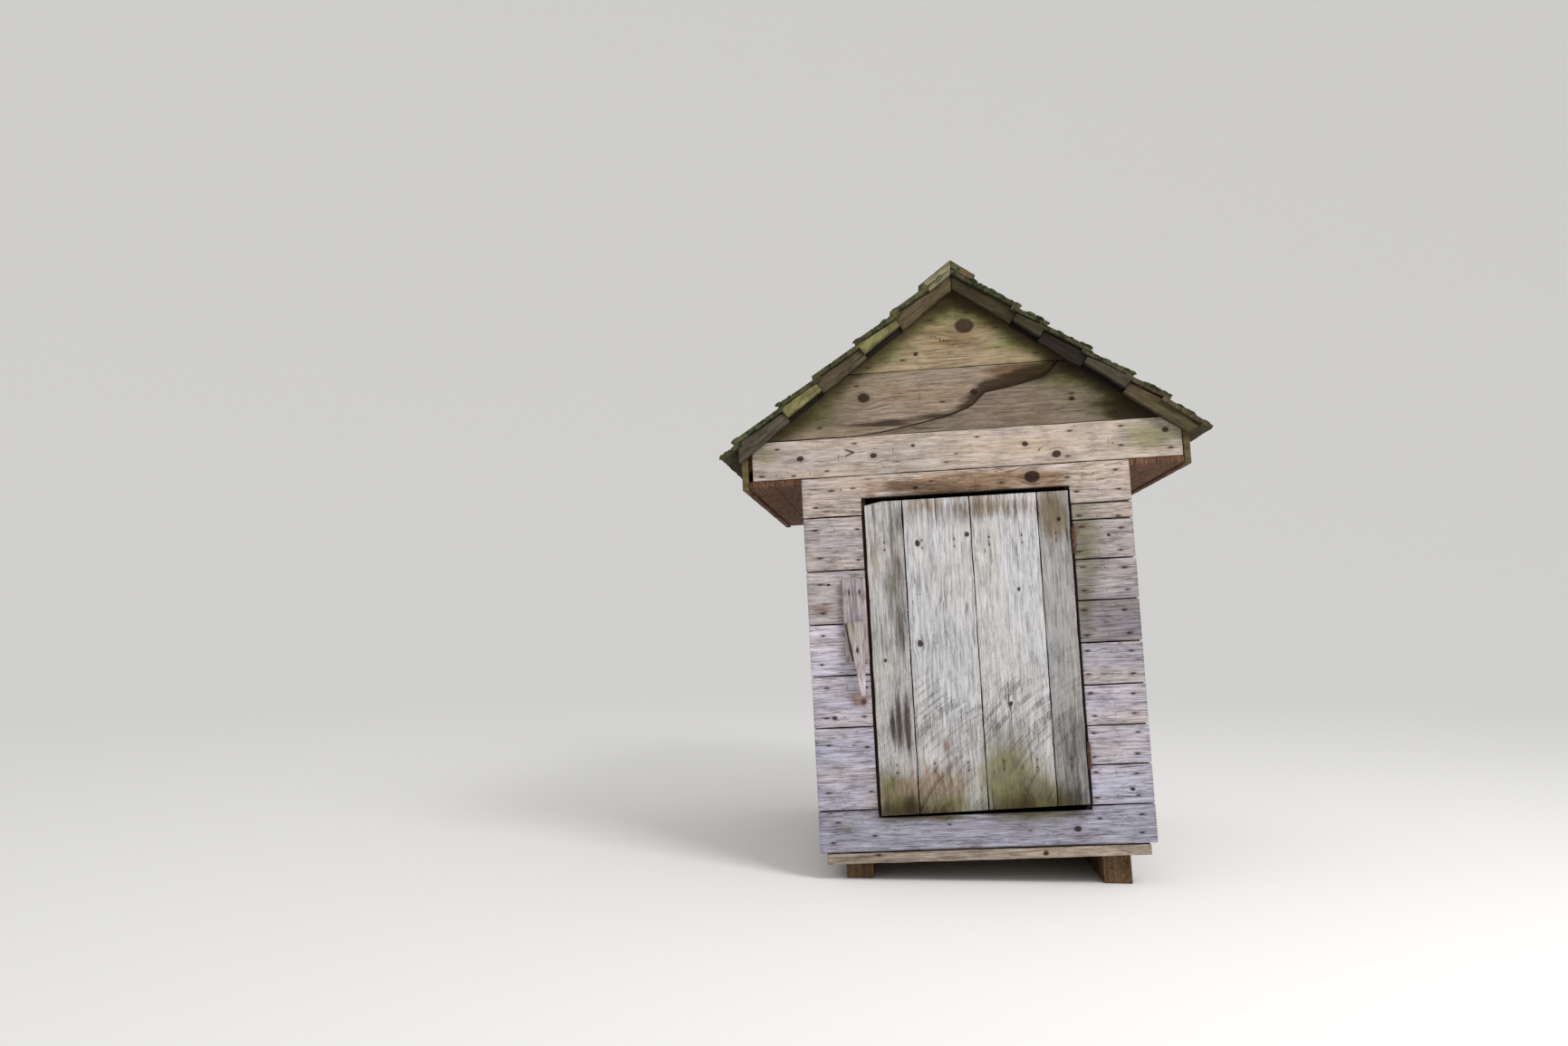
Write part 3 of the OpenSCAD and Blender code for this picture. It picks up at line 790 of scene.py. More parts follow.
def front_stain(point):
    """How much of each stain and of painted shade there is at a point of the front."""
    marks = [0, 0, 0, 0]
    for kind, patches in enumerate(FRONT_STAINS):
        for x, z, reach_x, reach_z, amount in patches:
            far = ((point.x - x) / reach_x) ** 2 + ((point.z - z) / reach_z) ** 2
            if far < 6:
                marks[kind] += amount * math.exp(-far)
    return [min(mark, 1) for mark in marks]


print("patches of stain on the front:", sum(len(patches) for patches in FRONT_STAINS))

# %% [markdown]
# On the real wall each short board is nailed over a corner post and a jamb. Hand-driven nails never stand
# in a true line, so each place is moved a little by chance. The places are kept twice: the boards need them
# for their stains now, and the heads are set on them later.

# %% Places for nails
OVER_POST, OVER_JAMB = 48, 26
nail_spots = []


def add_nail(point, facing, body="building"):
    nail_spots.append((Vector(point), facing, body))


def pick_nails(pick, bottom, top, x0, x1):
    """Two nails over the post and two over the jamb, or one over each in a narrow board."""
    height = top - bottom
    left, right = (OVER_POST, OVER_JAMB) if x0 < 0 else (OVER_JAMB, OVER_POST)
    spots = []
    for x in (x0 + left, x1 - right):
        for z in (bottom + 0.22 * height, top - 0.22 * height):
            if height >= 100 or z < bottom + 0.5 * height:
                spots.append((x + pick.uniform(-9, 9), z + pick.uniform(-8, 8), pick.uniform(0.7, 1.0)))
    return spots


print("nails in a board of 200 mm:", len(pick_nails(random.Random(1), 0, 200, -WALL_X, -OPENING_X)))

# %% [markdown]
# Each board of the front has weathered in its own way, and the lower boards are tinted cooler as painted
# blue sky light. One loop lays the boards between the lines, and a pair of numbers for each board says how
# light and how warm it is, since chance alone would not match the picture.

# %% Short boards beside the door
LEFT_LINES = (154, 458, 650, 843, 1043, 1247)
RIGHT_LINES = (142, 286, 428, 575, 729, 884, 1036, 1182, 1244)
# The warmth rises from the bottom board up: the cooler lower boards carry painted blue sky light over their
# own grey.
LEFT_LOOKS = ((0.4, -0.9), (1.1, -0.6), (2.4, -0.6), (-0.4, 0.1), (-0.7, 0.3))
RIGHT_LOOKS = ((0.5, -0.8), (0.4, -0.6), (0.2, -0.4), (-1.0, -0.2), (-3.9, -0.2), (-2.0, -0.1), (-1.9, 0.1),
               (-1.2, 0.4))
SEAM = 2.8


def side_boards(lines, x0, x1, seed, looks):
    """Short boards between a wall corner and the doorway."""
    stock = new_stock()
    for row, (bottom, top) in enumerate(zip(lines, lines[1:])):
        pick = random.Random(seed + row)
        nails = pick_nails(pick, bottom, top, x0, x1)
        for x, z, _ in nails:
            add_nail((x, 1, z), -Y)
        knots = []
        if pick.random() < 0.3:
            place = pick.uniform(x0 + 60, x1 - 60), pick.uniform(bottom + 25, top - 25)
            knots.append((*place, pick.uniform(0.004, 0.007)))
        face = pick.uniform(0, 2.2)
        check_z = pick.uniform(bottom + 25, top - 25)
        reach = pick.uniform(50, 110)
        check = (check_z, x0, x0 + reach, 2.2, 6) if x0 < 0 else (check_z, x1 - reach, x1, 2.2, 6)
        ends = (x0 + pick.uniform(0, 1.5), x1 - pick.uniform(0, 1.5))
        plank(stock, FRONT, ends, bottom + SEAM, top - SEAM, (face, BOARD_T), seed + row, lane=8, step=14,
              edge=1.8, knots=knots, nails=nails, checks=[check], stain=front_stain, tone=looks[row][0],
              warmth=looks[row][1])
    return stock


left_boards = side_boards(LEFT_LINES, -WALL_X, -OPENING_X - 1, 100, LEFT_LOOKS)
right_boards = side_boards(RIGHT_LINES, OPENING_X + 1, WALL_X, 200, RIGHT_LOOKS)
lay("front_left_boards", left_boards, WALL, "wall_wood", "front_wall_left")
lay("front_right_boards", right_boards, WALL, "wall_wood", "front_wall_right")

# %% [markdown]
# The boards over and under the doorway run across in one piece and are notched round its corners. An edge
# that steps there does it: the boards keep their full width beside the doorway and are cut back within it.

# %% Boards over and under the door
FOOTER_TOP = 124
CORNERS = (-OPENING_X - 0.6, -OPENING_X + 0.6, OPENING_X - 0.6, OPENING_X + 0.6)
HEADER_NAILS = [(382, 1344, 1), (412, 1289, 1), (-498, 1347, 1), (-560, 1286, 1), (-416, 1352, 0.8),
                (560, 1362, 0.9), (566, 1290, 0.9), (-120, 1362, 0.7), (140, 1340, 0.7)]
FOOTER_NAILS = [(-538, 112, 0.9), (-560, 38, 0.9), (-406, 60, 0.9), (-130, 92, 0.6), (160, 60, 0.6),
                (410, 95, 0.9), (556, 40, 0.9), (560, 104, 0.9)]


def notched(outer_left, outer_right, inner):
    """An edge that steps at the doorway's sides."""
    return lambda x: inner if abs(x) < OPENING_X else (outer_left if x < 0 else outer_right)


def long_board(low, high, seed, nails, **options):
    for x, z, _ in nails:
        add_nail((x, 1, z), -Y)
    return plank(new_stock(), FRONT, (-WALL_X, WALL_X), low, high, (0.5, BOARD_T), seed, lane=8, step=14,
                 edge=1.8, corners=CORNERS, nails=nails, stain=front_stain, **options)


header_low = notched(LEFT_LINES[-1] + SEAM, RIGHT_LINES[-1] + SEAM, OPENING_TOP)
header = long_board(header_low, WALL_TOP - SEAM, 301, HEADER_NAILS, tone=-0.5, warmth=0.9,
                    knots=[(254, 1355, 0.020), (-180, 1340, 0.006)])
footer_high = notched(LEFT_LINES[0] - SEAM, RIGHT_LINES[0] - SEAM, FOOTER_TOP)
footer = long_board(SEAM, footer_high, 302, FOOTER_NAILS, tone=-1.2, warmth=-1.5,
                    knots=[(330, 60, 0.009)], checks=[(70, -WALL_X, -430, 2.4, 7)])
lay("front_header_board", header, WALL, "wall_wood", "front_wall_over_door")
lay("front_bottom_board", footer, WALL, "wall_wood", "front_wall_under_door")

# %% [markdown]
# A frieze board crosses the foot of the gable and covers the ends of both eave boxes. It looks smoother
# than the walls and is the palest board of the front, so it has a finish of its own with fainter marks of
# the saw.

# %% Frieze board
FRIEZE_NAILS = [(-696, 1518, 0.9), (-759, 1418, 1), (-638, 1413, 0.9), (-510, 1424, 0.8), (-400, 1522, 0.8),
                (-60, 1430, 0.7), (60, 1518, 0.7), (390, 1424, 0.8), (402, 1518, 0.8), (586, 1453, 0.9),
                (590, 1524, 0.8), (765, 1432, 0.9)]
FRIEZE_KNOTS = [(236, 1480, 0.008), (349, 1435, 0.012), (-331, 1472, 0.009), (-609, 1477, 0.009),
                (749, 1500, 0.009), (-180, 1500, 0.005)]


def frieze_board(place, ends, seed, **options):
    return plank(new_stock(), place, ends, WALL_TOP + 1, FRIEZE_TOP - 1, (0, BOARD_T), seed, lane=7, step=16,
                 **options)


front_frieze = frieze_board(FRONT, (FRIEZE_LEFT, FRIEZE_RIGHT), 401, nails=FRIEZE_NAILS, knots=FRIEZE_KNOTS,
                            stain=front_stain, tone=0.3, warmth=0.2,
                            checks=[(1505, FRIEZE_LEFT, -690, 2, 6), (1440, 640, FRIEZE_RIGHT, 2, 6)])
for x, z, _ in FRIEZE_NAILS:
    add_nail((x, 0.5, z), -Y)
lay("front_frieze_board", front_frieze, FRIEZE, "frieze_wood", "front_frieze")

# %% [markdown]
# The lowest gable board keeps the wavy edge of its log, and a second board fills in under it. The edge is a
# short list of points with straight lines between them, and the wood near it is sunk, as the round outside
# of the log is. A dark band along it is partly the brown outside of the log and partly painted shade, and
# damp with painted shade darkens the gable under the rakes and in the peak.

# %% Wavy edge, stains and painted shade of the gable
GABLE_SEAM = 1788
WANEY_EDGE = ((-430, 1549), (-290, 1560), (-133, 1587), (-20, 1612), (47, 1637), (101, 1686), (200, 1702),
              (316, 1729), (356, 1758), (378, 1786))


def waney(x):
    """Height of the wavy edge between the two lower boards of the front gable."""
    if x <= WANEY_EDGE[0][0]:
        return WANEY_EDGE[0][1]
    for (x0, z0), (x1, z1) in zip(WANEY_EDGE, WANEY_EDGE[1:]):
        if x <= x1:
            return z0 + (z1 - z0) * (x - x0) / (x1 - x0)
    return WANEY_EDGE[-1][1]


def gable_dent(x, z):
    """How far the round outside of the log falls back at its wavy edge."""
    above = max(z - waney(x), 0)
    return 11 * math.exp(-(above / 15) ** 2) * min(max((x + 20) / 120, 0), 1)


def gable_stain(point):
    """The stains and painted shade of the front, a dark band along the wavy edge that is partly brown wood
    and partly painted shade, and damp with painted shade under the rakes and in the peak.
    """
    marks = front_stain(point)

    def more(kind, amount):
        marks[kind] = min(1, marks[kind] + amount)

    # A dark band above the wavy edge: partly the brown outside of the log, partly painted shade under its
    # rounded edge.
    above = point.z - waney(point.x)
    if point.x > -60 and above > 0:
        more(DAMP_AND_SHADE, 1.2 * math.exp(-(above / 44) ** 2) * min((point.x + 60) / 130, 1))
    # Damp and painted shade darken the gable under the rakes, most on the right.
    under = max((slope_z(point.x) - point.z) * math.cos(PITCH) - 44, 0)
    side_share = 1 if point.x > 0 else 0.85
    more(DAMP_AND_SHADE, 0.95 * side_share * math.exp(-(under / 50) ** 2))
    # Painted shade in the peak under the ridge.
    more(DAMP_AND_SHADE, 0.7 * math.exp(-(point.x / 70) ** 2 - ((point.z - 2090) / 60) ** 2))
    # Painted shadow in the wedge between the right rake and the frieze.
    if point.x > 520:
        more(DAMP_AND_SHADE, 0.95 * math.exp(-((point.z - 1572) / 26) ** 2) * min((point.x - 520) / 90, 1))
    more(ALGAE, 0.9 * side_share * math.exp(-under / 80))
    return marks


print("height of the wavy edge in the middle of the gable:", round(waney(0)))

# %% [markdown]
# Three boards fill the front gable: the peak, the board with the wavy edge, and the one under it. Each
# stops at the slope that carries the roof, where its upper edge is simply the lower of the seam and the
# slope.

# %% Front gable boards
GABLE_NAILS = [(0, 2039, 0.9), (-89, 1978, 0.9), (51, 1997, 0.7), (156, 1931, 0.9), (-200, 1830, 0.8),
               (-330, 1810, 0.7), (300, 1822, 0.8), (-530, 1590, 0.8), (-380, 1742, 0.8), (-60, 1660, 0.7),
               (420, 1660, 0.8), (590, 1575, 0.8)]


def gable_reach(low):
    """How far from the ridge line a gable board reaches at its lower edge."""
    return (RIDGE_Z - low) / math.tan(PITCH) - 1


def under_slope(top, bottom):
    """An upper edge that follows the slope below a seam, and never falls under the board's lower edge."""
    return lambda x: max(min(top(x), slope_z(x)), bottom(x))


gable = new_stock()
reach = gable_reach(GABLE_SEAM)
plank(gable, FRONT, (-reach, reach), GABLE_SEAM + 1.5, lambda x: max(slope_z(x), GABLE_SEAM + 2),
      (1, BOARD_T), 411, lane=8, step=14, knots=[(40, 1947, 0.026), (-150, 1850, 0.006)],
      nails=GABLE_NAILS, stain=gable_stain, tone=0.2, warmth=0.6, corners=(0,))
plank(gable, FRONT, (-gable_reach(FRIEZE_TOP), 380), lambda x: waney(x) + 2,
      under_slope(lambda x: GABLE_SEAM - 1, lambda x: waney(x) + 2.3), (0, BOARD_T), 412, lane=7, step=12,
      knots=[(-356, 1695, 0.016), (60, 1690, 0.010)], nails=GABLE_NAILS, stain=gable_stain, dent=gable_dent,
      tone=-0.45, warmth=-0.8, corners=(-372, 372))
plank(gable, FRONT, (-428, FRIEZE_RIGHT), FRIEZE_TOP + 1,
      under_slope(lambda x: waney(x) - 1.2, lambda x: FRIEZE_TOP + 1.5), (3, BOARD_T), 413, lane=7,
      step=12, knots=[(420, 1640, 0.007)], nails=GABLE_NAILS, stain=gable_stain, tone=-1.9, warmth=-1.2,
      corners=(378,))
for x, z, _ in GABLE_NAILS:
    add_nail((x, 2, z), -Y)
lay("front_gable_boards", gable, GABLE, "gable_wood", "front_gable")

# %% [markdown]
# The back is never seen in the picture. Its frieze and gable follow from symmetry, and its boards are
# plain.

# %% Back frieze and gable
BACK_LEVELS = (FRIEZE_TOP, 1736, 1942, RIDGE_Z)
back_frieze = frieze_board(BACK, (-FRIEZE_RIGHT, -FRIEZE_LEFT), 402, nails=FRIEZE_NAILS[2:], tone=-0.2)
lay("back_frieze_board", back_frieze, FRIEZE, "frieze_wood", "back_frieze")
back_gable = new_stock()
for row, (bottom, top) in enumerate(zip(BACK_LEVELS, BACK_LEVELS[1:])):
    reach = gable_reach(bottom)
    high = under_slope(lambda x, top=top: top - 1, lambda x, bottom=bottom: bottom + 1.5)
    plank(back_gable, BACK, (-min(reach, FRIEZE_RIGHT), min(reach, -FRIEZE_LEFT)), bottom + 1, high,
          (row % 2, BOARD_T), 420 + row, corners=(0,), knots=[(90 - 160 * row, bottom + 80, 0.009)])
lay("back_gable_boards", back_gable, GABLE, "gable_wood", "back_gable")

# %% [markdown]
# The door is four upright boards on two ledges. Its seams, the split in the second board, the clipped top
# corner and the worn, slanting bottom edge are all shape. The nails through the ledges show as small marks.

# %% Shape of the door
DOOR_FACE, DOOR_BACK = -5, 20
DOOR_SEAMS = (-379, -236, 15, 264, 381)
DOOR_LOW, DOOR_TOP = 131, 1295
LEDGE_ROWS = (251, 1075)
DOOR_KNOTS = [(1130, -186, 0.008), (1153, -1, 0.007), (939, 176, 0.005), (756, -198, 0.009),
              (1190, 340, 0.006), (520, 120, 0.006), (700, -330, 0.005)]
DOOR_NAILS = [(z + 14 * side, x, 0.35) for x in (-310, -170, -50, 80, 200, 325)
              for z, side in ((300, 1), (300, -1), (1125, 1), (1125, -1))]
DOOR_CHECKS = (
    [(-345, 1150, 1290, 1.8, 6)],
    [(-112, 1180, DOOR_TOP, 4.2, 13), (-140, 1262, DOOR_TOP, 1.8, 8), (-27, 822, 862, 1.6, 5),
     (-17, 836, 884, 2.0, 6), (-7, 816, 850, 1.6, 5)],
    [(30, DOOR_LOW, 230, 2, 6)],
    [(300, 150, 260, 2, 6)],
)


def door_bottom(x):
    return DOOR_LOW + 16 * (x + 379) / 760


def door_top(x):
    return DOOR_TOP - 13 * min(max((-311 - x) / 68, 0), 1)


rise = door_bottom(DOOR_SEAMS[-1]) - door_bottom(DOOR_SEAMS[0])
print("the bottom of the door rises by:", round(rise), "mm")

# %% [markdown]
# A circular saw left its marks on the lower half of the door. Each board keeps its distance from the middle
# of the blade that cut it, and how clear the arcs still are there. The numbers below run from the left
# board to the right one.

# %% Door boards
DOOR_SUNK = (0.4, 0, 0.8, 1.2)
DOOR_TONES = (-0.6, 0.2, 0.2, -2.3)
DOOR_WARMTHS = (0.2, -0.3, -0.2, 0.1)
BLADE_AWAY = 440
BLADE_HEIGHTS = (-200, -150, 0, -100)
ARC_SHARES = (0.5, 1, 1, 0.6)
door = new_stock()
door["saw"] = []
for board, (left, right) in enumerate(zip(DOOR_SEAMS, DOOR_SEAMS[1:])):
    depth = (DOOR_FACE + DOOR_SUNK[board], DOOR_BACK)
    plank(door, UPRIGHT, (DOOR_LOW, DOOR_TOP), left + 2.1, right - 2.1, depth, 500 + board, lane=6.5,
          step=14, edge=1.6, wander=1.8, start_at=door_bottom, stop_at=door_top,
          checks=DOOR_CHECKS[board], nails=DOOR_NAILS, knots=DOOR_KNOTS, stain=front_stain,
          tone=DOOR_TONES[board], warmth=DOOR_WARMTHS[board])
    blade = Vector(((left + right) / 2 + BLADE_AWAY, 0, BLADE_HEIGHTS[board]))
    for point in door["points"][len(door["saw"]):]:
        share = min(max((820 - point.z) / 260, 0), 1) * ARC_SHARES[board]
        door["saw"].append((math.hypot(point.x - blade.x, point.z - blade.z) / 1000, share, 0))
lay("door_boards", door, DOOR, "door_wood", "door", body="door")

# %% [markdown]
# Two ledges hold the boards together from behind. They are seen when the door stands open.

# %% Door ledges
INSIDE = setting((0, 42, 0), -X, Z, -Y)
ledges = new_stock()
for row, low in enumerate(LEDGE_ROWS):
    plank(ledges, INSIDE, (-343, 341), low, low + 100, (0, 22), 520 + row, edge=4,
          knots=[(120, low + 40, 0.007)])
lay("door_ledge_boards", ledges, DOOR, "door_wood", "door_ledges", body="door")
for z, x, _ in DOOR_NAILS:
    add_nail((x, DOOR_FACE + 0.6, z), -Y, "door")

# %% [markdown]
# Left of the door, a thick block carries the turn-button: a split stick, wide at the top and pointed below,
# on a single nail. The nail itself is a solid of the frame, and only gets a rusty finish.

# %% Latch block and turn-button
NAIL_X, NAIL_Z = -431, 743
BUTTON_LOW, BUTTON_HIGH = NAIL_Z - 172, NAIL_Z + 106
BUTTON_TIP, BUTTON_HEAD = (7, 21), (-37, 31)
BLOCK_NAILS = [(960, -452, 0.9), (958, -412, 0.9)]


def up_button(z):
    return (z - BUTTON_LOW) / (BUTTON_HIGH - BUTTON_LOW)


def button_left(z):
    return NAIL_X + BUTTON_TIP[0] + up_button(z) * (BUTTON_HEAD[0] - BUTTON_TIP[0])


def button_right(z):
    return NAIL_X + BUTTON_TIP[1] + up_button(z) * (BUTTON_HEAD[1] - BUTTON_TIP[1])


def block_stain(point):
    """A painted shadow darkens the block along the left edge of the turn-button."""
    if not BUTTON_LOW < point.z < BUTTON_HIGH + 2:
        return (0, 0, 0, 0)
    return (0, 0.9 * math.exp(-((point.x - button_left(point.z) + 3) / 5) ** 2), 0, 0)


def button_stain(point):
    """The head of the stick is the greenest."""
    return (0.42 * min(max(up_button(point.z), 0), 1), 0.1, 0, 0.15)


block = plank(new_stock(), UPRIGHT, (703, 1010), -477, -389, (-22, 0), 601, lane=4, step=10, edge=3,
              checks=[(-440, 880, 1010, 2.4, 8), (-410, 703, 760, 1.8, 6)], nails=BLOCK_NAILS, tone=-1.3,
              warmth=0.1, stain=block_stain)
for z, x, _ in BLOCK_NAILS:
    add_nail((x, -21.4, z), -Y)
lay("latch_block_board", block, LATCH, "latch_wood", "latch_block")
button = plank(new_stock(), UPRIGHT, (BUTTON_LOW, BUTTON_HIGH), button_left, button_right, (-40.5, -22.5),
               602, lane=4.5, step=8, edge=3.4, wander=1.6, relief=1.0, nails=[(NAIL_Z, NAIL_X, 1.0)],
               checks=[(NAIL_X, 775, BUTTON_HIGH, 1.8, 7)], tone=1.6, warmth=0.0, stain=button_stain)
lay("turn_button_stick", button, LATCH, "latch_wood", "turn_button", body="turn_button")

# %% [markdown]
# The roof boards run from front to back and lap like clapboards: each one lies on the rafters at its upper
# edge and on the next board at its lower edge. Distances are measured down each slope from the ridge, and
# the laps are uneven, as they are in the picture. Moss thickens toward the ends of the boards, and the
# right eave is drier.

# %% The two slopes
FRONT_END, BACK_END = -VERGE, WALL_D + VERGE
LEFT_STEPS = (0, 271, 444, 653, 822, 1045, SLOPE_L)
RIGHT_STEPS = (0, 287, 410, 594, 778, 935, SLOPE_L)
LEFT_TONES = ((1.5, -0.9), (0.4, -0.2), (0.3, 0.9), (-0.2, 0.3), (1.2, 0.9), (-0.3, -0.6))
RIGHT_TONES = ((-0.8, 0.5), (-1.2, -1.0), (-1.0, 0.6), (-0.8, -1.0), (-0.1, 0.8), (1.0, 0.9))


def slope_frame(side):
    return (DOWN_RIGHT, OUT_RIGHT) if side > 0 else (DOWN_LEFT, OUT_LEFT)


def on_slope(side, s, h):
    """A point of the roof, s down the slope and h over it."""
    down, out = slope_frame(side)
    return Vector((0, 0, RIDGE_Z)) + down * s + out * h


def roof_stain(point):
    ends = max(math.exp(-(point.y - FRONT_END) / 200), math.exp(-(BACK_END - point.y) / 300))
    dry = 0.25 if point.x > 600 else 1
    wet = 1.35 if point.x < -700 else dry
    return (min(0.55 * ends * wet, 1), 0.25 * ends * dry, 0, 0)


print("laps on the left and the right slope:", len(LEFT_STEPS) - 2, len(RIGHT_STEPS) - 2)

# %% [markdown]
# Each course is one board, tipped by the lap under its foot and wedge-cut at the ridge. While it is laid,
# places for cushions of moss are picked on it: many near its front end and its lower edge, few elsewhere,
# and on the right slope a row on the ends that face the front.

# %% Roof boards
TUCKED = 28
CUSHIONS, NEAR_FRONT = 64, 36
MOSS_REACH = 1780
moss_spots = []


def pick_moss(pick, place, width, inward, on_front_end):
    """Notes places for moss on one board. The first of them gather toward its front end."""
    for number in range(CUSHIONS):
        along = FRONT_END + 8 + MOSS_REACH * pick.random() ** (2.2 if number < NEAR_FRONT else 1)
        spread = width - abs(pick.gauss(0, 18)) - 4 if number % 4 else pick.uniform(30, width)
        spread = min(max(spread, 20), width - 5)
        moss_spots.append((place @ Vector((along, spread, -ROOF_T + 2)), -inward, pick.uniform(0.3, 1)))
    for _ in range(on_front_end):
        spread = pick.uniform(0.25, 0.97) * width
        spot = place @ Vector((FRONT_END + pick.uniform(8, 30), spread, -ROOF_T + 1))
        moss_spots.append((spot, -inward, pick.uniform(0.5, 1.1)))


def roof_courses(side, steps, tones, seed):
    """The lapped boards of one slope, from the ridge down."""
    stock = new_stock()
    pick = random.Random(seed)
    for row, (upper, lower) in enumerate(zip(steps, steps[1:])):
        last = row == len(steps) - 2
        head = on_slope(side, max(upper - TUCKED, 0), 0.6)
        foot = on_slope(side, lower, 0.6 if last else ROOF_T - 1)
        across = (foot - head).normalized()
        inward = across.cross(Y)
        inward = inward if inward.z < 0 else -inward
        place = setting(head, Y, across, inward)
        width = (foot - head).length
        ends = (FRONT_END + pick.uniform(0, 5), BACK_END - pick.uniform(0, 7))
        check_at = pick.uniform(0.3, 0.7) * width
        check = (check_at, FRONT_END, FRONT_END + pick.uniform(80, 240), 3, 7)
        tone, warmth = tones[row]
        plank(stock, place, ends, 0, width, (-ROOF_T + 1, 0), seed + row, lane=13, step=32, wander=3.0,
              relief=1.2, edge=3, back_lanes=3, checks=[check], stain=roof_stain, tone=tone,
              warmth=warmth, plumb=side if row == 0 else 0)
        on_front_end = 9 if row in (0, 4, 5) else 4
        pick_moss(pick, place, width, inward, on_front_end if side > 0 else 0)
    return stock


for word, side, steps, tones, seed in (("left", -1, LEFT_STEPS, LEFT_TONES, 700),
                                       ("right", 1, RIGHT_STEPS, RIGHT_TONES, 720)):
    roof_mesh = raw_mesh(word + "_roof_boards", roof_courses(side, steps, tones, seed))
    roof_mesh.transform(LEANED)
    for vertex in roof_mesh.vertices:
        vertex.co.x = min(max(vertex.co.x, cad_low[0]), cad_high[0])
    dress(word + "_roof_boards", roof_mesh, ROOF, "roof_wood", word + "_roof")

# %% [markdown]
# Two boards cover the ridge. They are cut to meet on it, and lie on the first course of each slope.

# %% Ridge boards
ridge = new_stock()
for side, width, seed, tone, warmth in ((-1, 124, 741, 1.2, -0.8), (1, 80, 742, 0.8, 0.6)):
    down, out = slope_frame(side)
    place = setting((0, 0, RIDGE_Z), Y, down, -out)
    plank(ridge, place, (FRONT_END + 2, BACK_END), 0, width, (-ROOF_T - BOARD_T, -ROOF_T - 0.5), seed,
          lane=12, step=32, wander=2, relief=1.2, edge=3, stain=roof_stain, plumb=side, tone=tone,
          warmth=warmth)
lay("ridge_boards", ridge, ROOF, "roof_wood", "left_ridge_board", "right_ridge_board")

# %% [markdown]
# The rake under the roof ends was patched from short pieces. Some stand proud and smooth, and some are sunk
# and painted dark as the shade under the proud ones; each has its own colour, so the lists below give them
# one
# by one: where the piece starts and stops down the slope, how low it reaches, how far it stands out, and how
# light, warm, green and damp it is, the damp also holding the painted shade.

# %% Pieces of the rakes
RAKE_W = 46
RAKE_L = 1050
# The sunk pieces stand out 14 mm; their low tone and full damp are painted shade under the proud pieces.
LEFT_RAKE = (
    (0, 271, -46, 25, 0.1, 0.2, 0.2, 0.15), (268, 446, -46, 14, -1.4, 0.4, 0.2, 1.0),
    (444, 655, -44, 31, -0.1, 0.1, 0.1, 0.2), (652, 824, -46, 14, -1.4, 0.4, 0.2, 1.0),
    (822, RAKE_L, -46, 34, 0.1, -0.9, 0.0, 0.12),
)
RIGHT_RAKE = (
    (0, 288, -42, 29, -1.1, 0.6, 0.3, 0.45), (286, 412, -46, 14, -2.4, -0.4, 0.1, 1.0),
    (410, 596, -46, 31, -1.5, 0.5, 0.1, 0.6), (594, 780, -46, 14, -2.4, -0.6, 0.0, 1.0),
    (778, RAKE_L, -46, 33, -0.6, 0.6, 0.3, 0.25),
)
LEFT_PROUD = (
    (0, 102, 1, 45, 4.4, -1.0, 0.3, 0.0, 40), (272, 443, -27, 43, 0.5, 0.9, 0.9, 0.0),
    (655, 821, -29, 43, 1.3, 0.9, 0.9, 0.0),
)
RIGHT_PROUD = (
    (18, 76, 20, 45, 1.3, 1.2, 0.0, 0.0, 40), (289, 409, -29, 44, -1.4, -1.4, 0.4, 0.4),
    (597, 777, -28, 44, -1.0, -1.8, 0.2, 0.25),
)
PLAIN_RAKE = ((0, RAKE_L, -46, 25, -0.3, 0.2, 0.3, 0.3),)
print("pieces of the front rakes:", sum(map(len, (LEFT_RAKE, RIGHT_RAKE, LEFT_PROUD, RIGHT_PROUD))))

# %% [markdown]
# A rake reaches up to the boards of the roof, which rise from each lap to the next. It is cut plumb at the
# ridge and at its foot, so its ends depend on the place across it. The back gable has one plain piece on
# each side.

# %% Rake boards
def roof_edge(steps):
    """How high a rake reaches: up to the lapped boards over it."""
    def high(s):
        for upper, lower in zip(steps, steps[1:]):
            if s <= lower:
                return -0.8 if lower == SLOPE_L else -0.8 + (ROOF_T - 3) * (s - upper) / (lower - upper)
        return -0.8

    return high


def plumb_cut(x):
    """Where a cut stands down the slope, from its distance to the ridge line at each place across."""
    return lambda v: (x(v) - v * math.sin(PITCH)) / math.cos(PITCH)


def rake_board(stock, side, front, seed, piece):
    """One piece of rake. The front and the back gable differ only in the way they face."""
    start, stop, low, proud, tone, warmth, green, damp_and_shade, *top = piece
    down, out = slope_frame(side)
    origin = Vector((0, -proud if front else WALL_D + proud, RIDGE_Z))
    place = setting(origin, down, out, Y if front else -Y)
    cuts = {}
    if start == 0:
        cuts["start_at"] = plumb_cut(lambda v: 0.5)
    if stop == RAKE_L:
        cuts["stop_at"] = plumb_cut((lambda v: 841) if side < 0 else (lambda v: 875 + 49 * v / RAKE_W))
    high = top[0] if top else roof_edge(LEFT_STEPS if side < 0 else RIGHT_STEPS)
    plank(stock, place, (start, stop), low, high, (0, proud - 0.5), seed, lane=6, step=14, edge=3.5,
          wander=3.0, relief=1.6, stain=lambda point: (green, damp_and_shade, 0, 0), tone=tone, warmth=warmth, **cuts)


for word, left, right in (("front", LEFT_RAKE + LEFT_PROUD, RIGHT_RAKE + RIGHT_PROUD),
                          ("back", PLAIN_RAKE, PLAIN_RAKE)):
    rakes = new_stock()
    for side, pieces in ((-1, left), (1, right)):
        for number, piece in enumerate(pieces):
            rake_board(rakes, side, word == "front", 760 + 20 * side + number, piece)
    lay(word + "_rakes", rakes, RAKE, "rake_wood", word + "_rake_boards")

